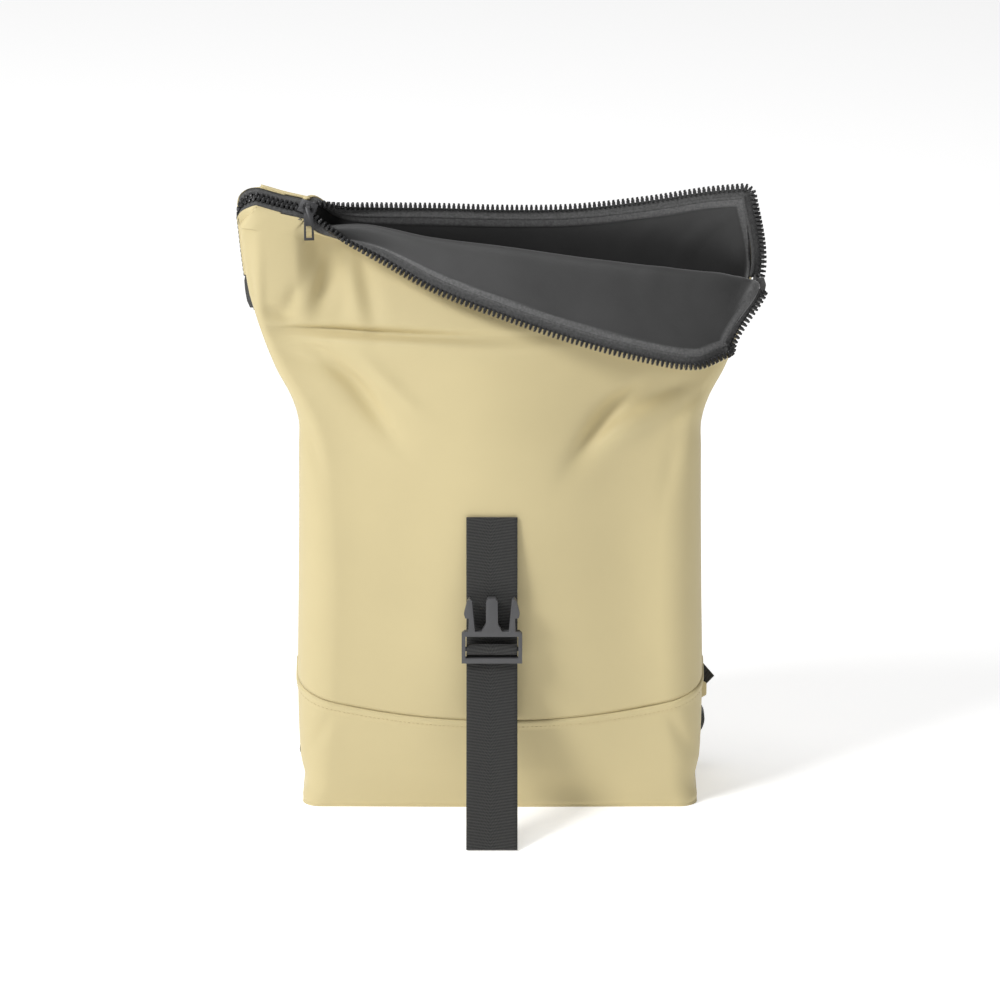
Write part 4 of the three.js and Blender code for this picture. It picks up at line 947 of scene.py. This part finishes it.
def flat_section(low, high, thick, bulge=0.35, count=14):
    """Outline of a flat strip with rounded edges."""
    top = np.linspace(low + bulge * thick, high - bulge * thick, count)
    half = thick / 2
    upper = [(x, half) for x in top] + [(high, half * 0.4), (high, -half * 0.4)]
    return upper + [(x, -half) for x in top[::-1]] + [(low, -half * 0.4), (low, half * 0.4)]


def through_points(points, count):
    """A smooth line through points. Between each two it is the cubic through them and their neighbours."""
    points = np.asarray(points, dtype=float)
    points = np.vstack([2 * points[0] - points[1], points, 2 * points[-1] - points[-2]])
    found = []
    for start in range(len(points) - 3):
        four = points[start:start + 4]
        knots = np.append(0, np.cumsum(np.sqrt(np.linalg.norm(np.diff(four, axis=0), axis=-1))))
        for t in np.linspace(knots[1], knots[2], count, endpoint=False):
            row = four
            for order in (1, 2, 3):
                row = [((knots[i + order] - t) * row[i] + (t - knots[i]) * row[i + 1])
                       / (knots[i + order] - knots[i]) for i in range(4 - order)]
            found.append(row[0])
    found.append(points[-2])
    return np.array(found)


def strap_frame(points, across):
    run = unit(np.gradient(points, axis=0, edge_order=2))
    flat = square_to(run, across)
    return points, flat, unit(np.cross(flat, run))


def front_surface(x, z):
    return section_point(x / HALF_WIDTH / 1.3, z, -1)[..., 1] + fold_depth(FOLDS, x, z)


drop = np.linspace(0, 1, 90)
strip_z = mix(STRIP_TOP, FOOT, drop)
strip_y = front_surface(WEB_AT + 0 * drop, strip_z) - STRIP_OUT - STRIP_BOW * np.sin(math.pi * drop**0.8) ** 2
strip = np.stack([WEB_AT + 0 * drop, strip_y, strip_z], axis=-1)
RIGHT = np.array([1.0, 0.0, 0.0])
WEB_SECTION = flat_section(-WEB_WIDE / 2, WEB_WIDE / 2, WEB_THICK)
piece = ribbon("front_webbing_woven", *strap_frame(strip, RIGHT), WEB_SECTION, webbing)
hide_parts("front_webbing")

fullest = -1.1 * HALF_DEPTH
layer = WEB_THICK + 0.3
at_buckle = STRIP_BOW + STRIP_OUT + layer
bar_radius = 1.7
bar_z = BUCKLE_LOW + 4 + 4.7 + bar_radius
bar_out = at_buckle + layer + WEB_THICK / 2 + 0.3 + bar_radius
turn_at = bar_radius + 0.3 + WEB_THICK / 2
behind = at_buckle + layer
foot_out = STRIP_OUT + layer
low_window = BUCKLE_LOW + 4
route = [
    (foot_out, FOOT), (mix(foot_out, at_buckle, 0.4), mix(FOOT, BUCKLE_LOW, 0.45)),
    (mix(foot_out, at_buckle, 0.85), BUCKLE_LOW - 8), (at_buckle, BUCKLE_LOW + 2),
    (bar_out - turn_at, bar_z - 1), (bar_out - turn_at * 0.7, bar_z + turn_at * 0.72),
    (bar_out, bar_z + turn_at), (bar_out + turn_at * 0.72, bar_z + turn_at * 0.7),
    (bar_out + turn_at, bar_z - 0.3), (bar_out + turn_at * 0.6, bar_z - turn_at * 0.95),
    (behind + 1.2, low_window + 2), (behind, low_window - 1), (behind + 0.5, BUCKLE_LOW - 3),
    *[(mix(behind, TAIL_REACH, out), BUCKLE_LOW * z)
      for out, z in ((0.06, 0.88), (0.28, 0.64), (0.5, 0.46), (0.76, 0.24), (0.9, 0.1))],
    (TAIL_REACH, WEB_THICK * 0.6),
]
strap_line = through_points([(WEB_AT, fullest - out, z) for out, z in route], 10)
strap_place = strap_frame(strap_line, RIGHT)
piece = ribbon("buckle_strap_woven", *strap_place, WEB_SECTION, webbing)
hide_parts("buckle_strap")

web_stitch = stitch_sample(2.2, 0.5)
for name, place, station in (("strip_hem", strap_frame(strip, RIGHT), 3), ("tail_hem", strap_place, -9)):
    points, flat, out = (part[station] for part in place)
    row = points + flat * np.linspace(-17, 17, 30)[:, None] + out * (WEB_THICK / 2 + 0.1)
    set_along(name + "_stitches", *evenly(row, np.tile(out, (30, 1)), 3.0), web_stitch, dark_thread)


# Shoulder straps. Foam in dark cloth, sewn flat to the back at the top and stitched along both edges. The
# lower end is narrower, and a thin webbing goes from it through the ladder lock to the base band's corner.
PAD = table("at x z off wide thick", [
    (0, 0.26, 0.845, 0.3, 0.66, 0.36),
    (0.1, 0.28, 0.8, 1.1, 0.86, 0.8),
    (0.28, 0.34, 0.72, 3.2, 1, 1),
    (0.5, 0.4, 0.58, 4.3, 1, 1),
    (0.72, 0.45, 0.42, 3.8, 1, 1),
    (0.88, 0.52, 0.31, 2.6, 0.92, 0.9),
    (1, 0.6, 0.245, 1.9, 0.6, 0.6),
])
PAD_WIDE = 58.0
PAD_THICK = 9.0
STITCHED_AT = 0.86
PAD_PITCH = 3.4
AROUND = 40
PRESSURE = 4.0
SWELL_FRAMES = 20
THIN_WEB = 25.0
SIDE_REACH = {"left": 141, "right": 155}
BACKWARD = np.array([0.0, 1.0, 0.0])
pad_cloth = grained("pad_cloth", (0.045, 0.045, 0.046), 0.85, 1100.0, 0.5, 0.0004, Sheen_Weight=0.2)


def back_surface(x, z):
    return section_point(x / HALF_WIDTH / 1.3, z, 1)[..., 1]


def back_frame(points):
    run = unit(np.gradient(points, axis=0, edge_order=2))
    through = square_to(run, BACKWARD)
    return points, unit(np.cross(run, through)), through


def stuffed(piece, voxel=0.0025, swells=0.004):
    """Lets a padded piece swell against its own cloth, as the foam inside presses it out."""
    even = piece.modifiers.new("even", "REMESH")
    even.mode = "VOXEL"
    even.voxel_size = voxel
    mesh = bpy.data.meshes.new_from_object(piece.evaluated_get(bpy.context.evaluated_depsgraph_get()))
    piece.modifiers.clear()
    piece.data = mesh
    start = np.array([vertex.co for vertex in mesh.vertices])
    cloth = piece.modifiers.new("swell", "CLOTH")
    cloth.settings.use_pressure = True
    cloth.settings.uniform_pressure_force = PRESSURE
    cloth.settings.effector_weights.gravity = 0.0
    cloth.point_cache.frame_start = 1
    cloth.point_cache.frame_end = SWELL_FRAMES
    for turn in range(1, SWELL_FRAMES + 1):
        bpy.context.scene.frame_set(turn)
    swollen = piece.evaluated_get(bpy.context.evaluated_depsgraph_get()).to_mesh()
    moved = np.array([vertex.co for vertex in swollen.vertices]) - start
    piece.modifiers.clear()
    bpy.context.scene.frame_set(1)
    reach = np.linalg.norm(moved, axis=1, keepdims=True)
    mesh.vertices.foreach_set("co", (start + moved * np.minimum(1, swells / np.maximum(reach, 1e-9))).ravel())
    mesh.polygons.foreach_set("use_smooth", np.full(len(mesh.polygons), True))


pad_rows = read(PAD, np.linspace(0, 1, 90))
for name, hand in (("left", -1), ("right", 1)):
    x = pad_rows["x"] * HALF_WIDTH
    z = pad_rows["z"] * HEIGHT
    pad_line = np.stack([hand * x, back_surface(x, z) + pad_rows["off"] * PAD_THICK, z], axis=-1)
    points, across, through = back_frame(pad_line)
    around = np.linspace(0, 2 * math.pi, AROUND, endpoint=False)
    flat = np.sign(np.cos(around)) * np.abs(np.cos(around)) ** 0.55
    thick = np.sign(np.sin(around)) * np.abs(np.sin(around)) ** 0.75
    half_wide = pad_rows["wide"][:, None] * PAD_WIDE / 2
    half_thick = pad_rows["thick"][:, None] * PAD_THICK / 2
    body = (points[:, None] + across[:, None] * (half_wide * flat)[..., None]
            + through[:, None] * (half_thick * thick * 0.96)[..., None])
    pad = make_piece("shoulder_pad_" + name, body, tube_faces(len(points), AROUND), None, pad_cloth)
    stuffed(pad)
    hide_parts("shoulder_strap_" + name)
    for edge in (-1, 1):
        rim = points + STITCHED_AT * (across * half_wide * edge + through * half_thick)
        row = evenly(rim[4:-4], through[4:-4], PAD_PITCH)
        set_along(f"pad_stitches_{name}_{'out' if edge > 0 else 'in'}", *row, web_stitch, dark_thread)

    end = pad_line[-1]
    leave = unit(pad_line[-1] - pad_line[-8])
    lower = [end + leave * reach for reach in (0.9, 8, 16, 24)]
    lower += [(hand * 122, end[1] - 4, 92), (hand * 142, 58.1, 72), (hand * SIDE_REACH[name], 47.1, 60)]
    web = ribbon("lower_webbing_woven_" + name, *back_frame(through_points(lower, 8)),
                 flat_section(-THIN_WEB / 2, THIN_WEB / 2, WEB_THICK), webbing)
    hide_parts("lower_webbing_" + name)


# Ends of the lower webbings. The same thin webbing, folded and sewn into the side seams of the base band,
# shows as a loop at the right and as a small dark corner at the left.
FOLDED_SECTION = flat_section(-8, 8, 4 * WEB_THICK)
folded_right = [(147, 41, 48), (151, 42, 44), (153, 43, 38), (151, 42, 31), (147, 41, 27)]
folded_left = [(-144, 41, 20), (-148, 43, 17), (-150, 44, 13), (-148, 43, 10), (-144, 41, 8)]
for name, ends in (("right", folded_right), ("left", folded_left)):
    line = through_points(ends, 8)
    tail = ribbon("webbing_end_" + name, *strap_frame(line, BACKWARD), FOLDED_SECTION, webbing)


# Rear webbing. The same webbing as in front, sewn to the back at its top, with the buckle's mate at its lower
# end. It hangs a little further off the cloth towards the buckle.
REAR_TOP = 235.0
REAR_LOW = 140.0
REAR_OFF = 4.0
rear_z = np.linspace(REAR_TOP, REAR_LOW, 40)
share = (REAR_TOP - rear_z) / (REAR_TOP - REAR_LOW)
rear_x = WEB_AT + 0 * rear_z
rear = np.stack([rear_x, back_surface(rear_x, rear_z) + STRIP_OUT + REAR_OFF * share**2, rear_z], axis=-1)
piece = ribbon("rear_webbing_woven", *strap_frame(rear, RIGHT), WEB_SECTION, webbing)
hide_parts("rear_webbing")
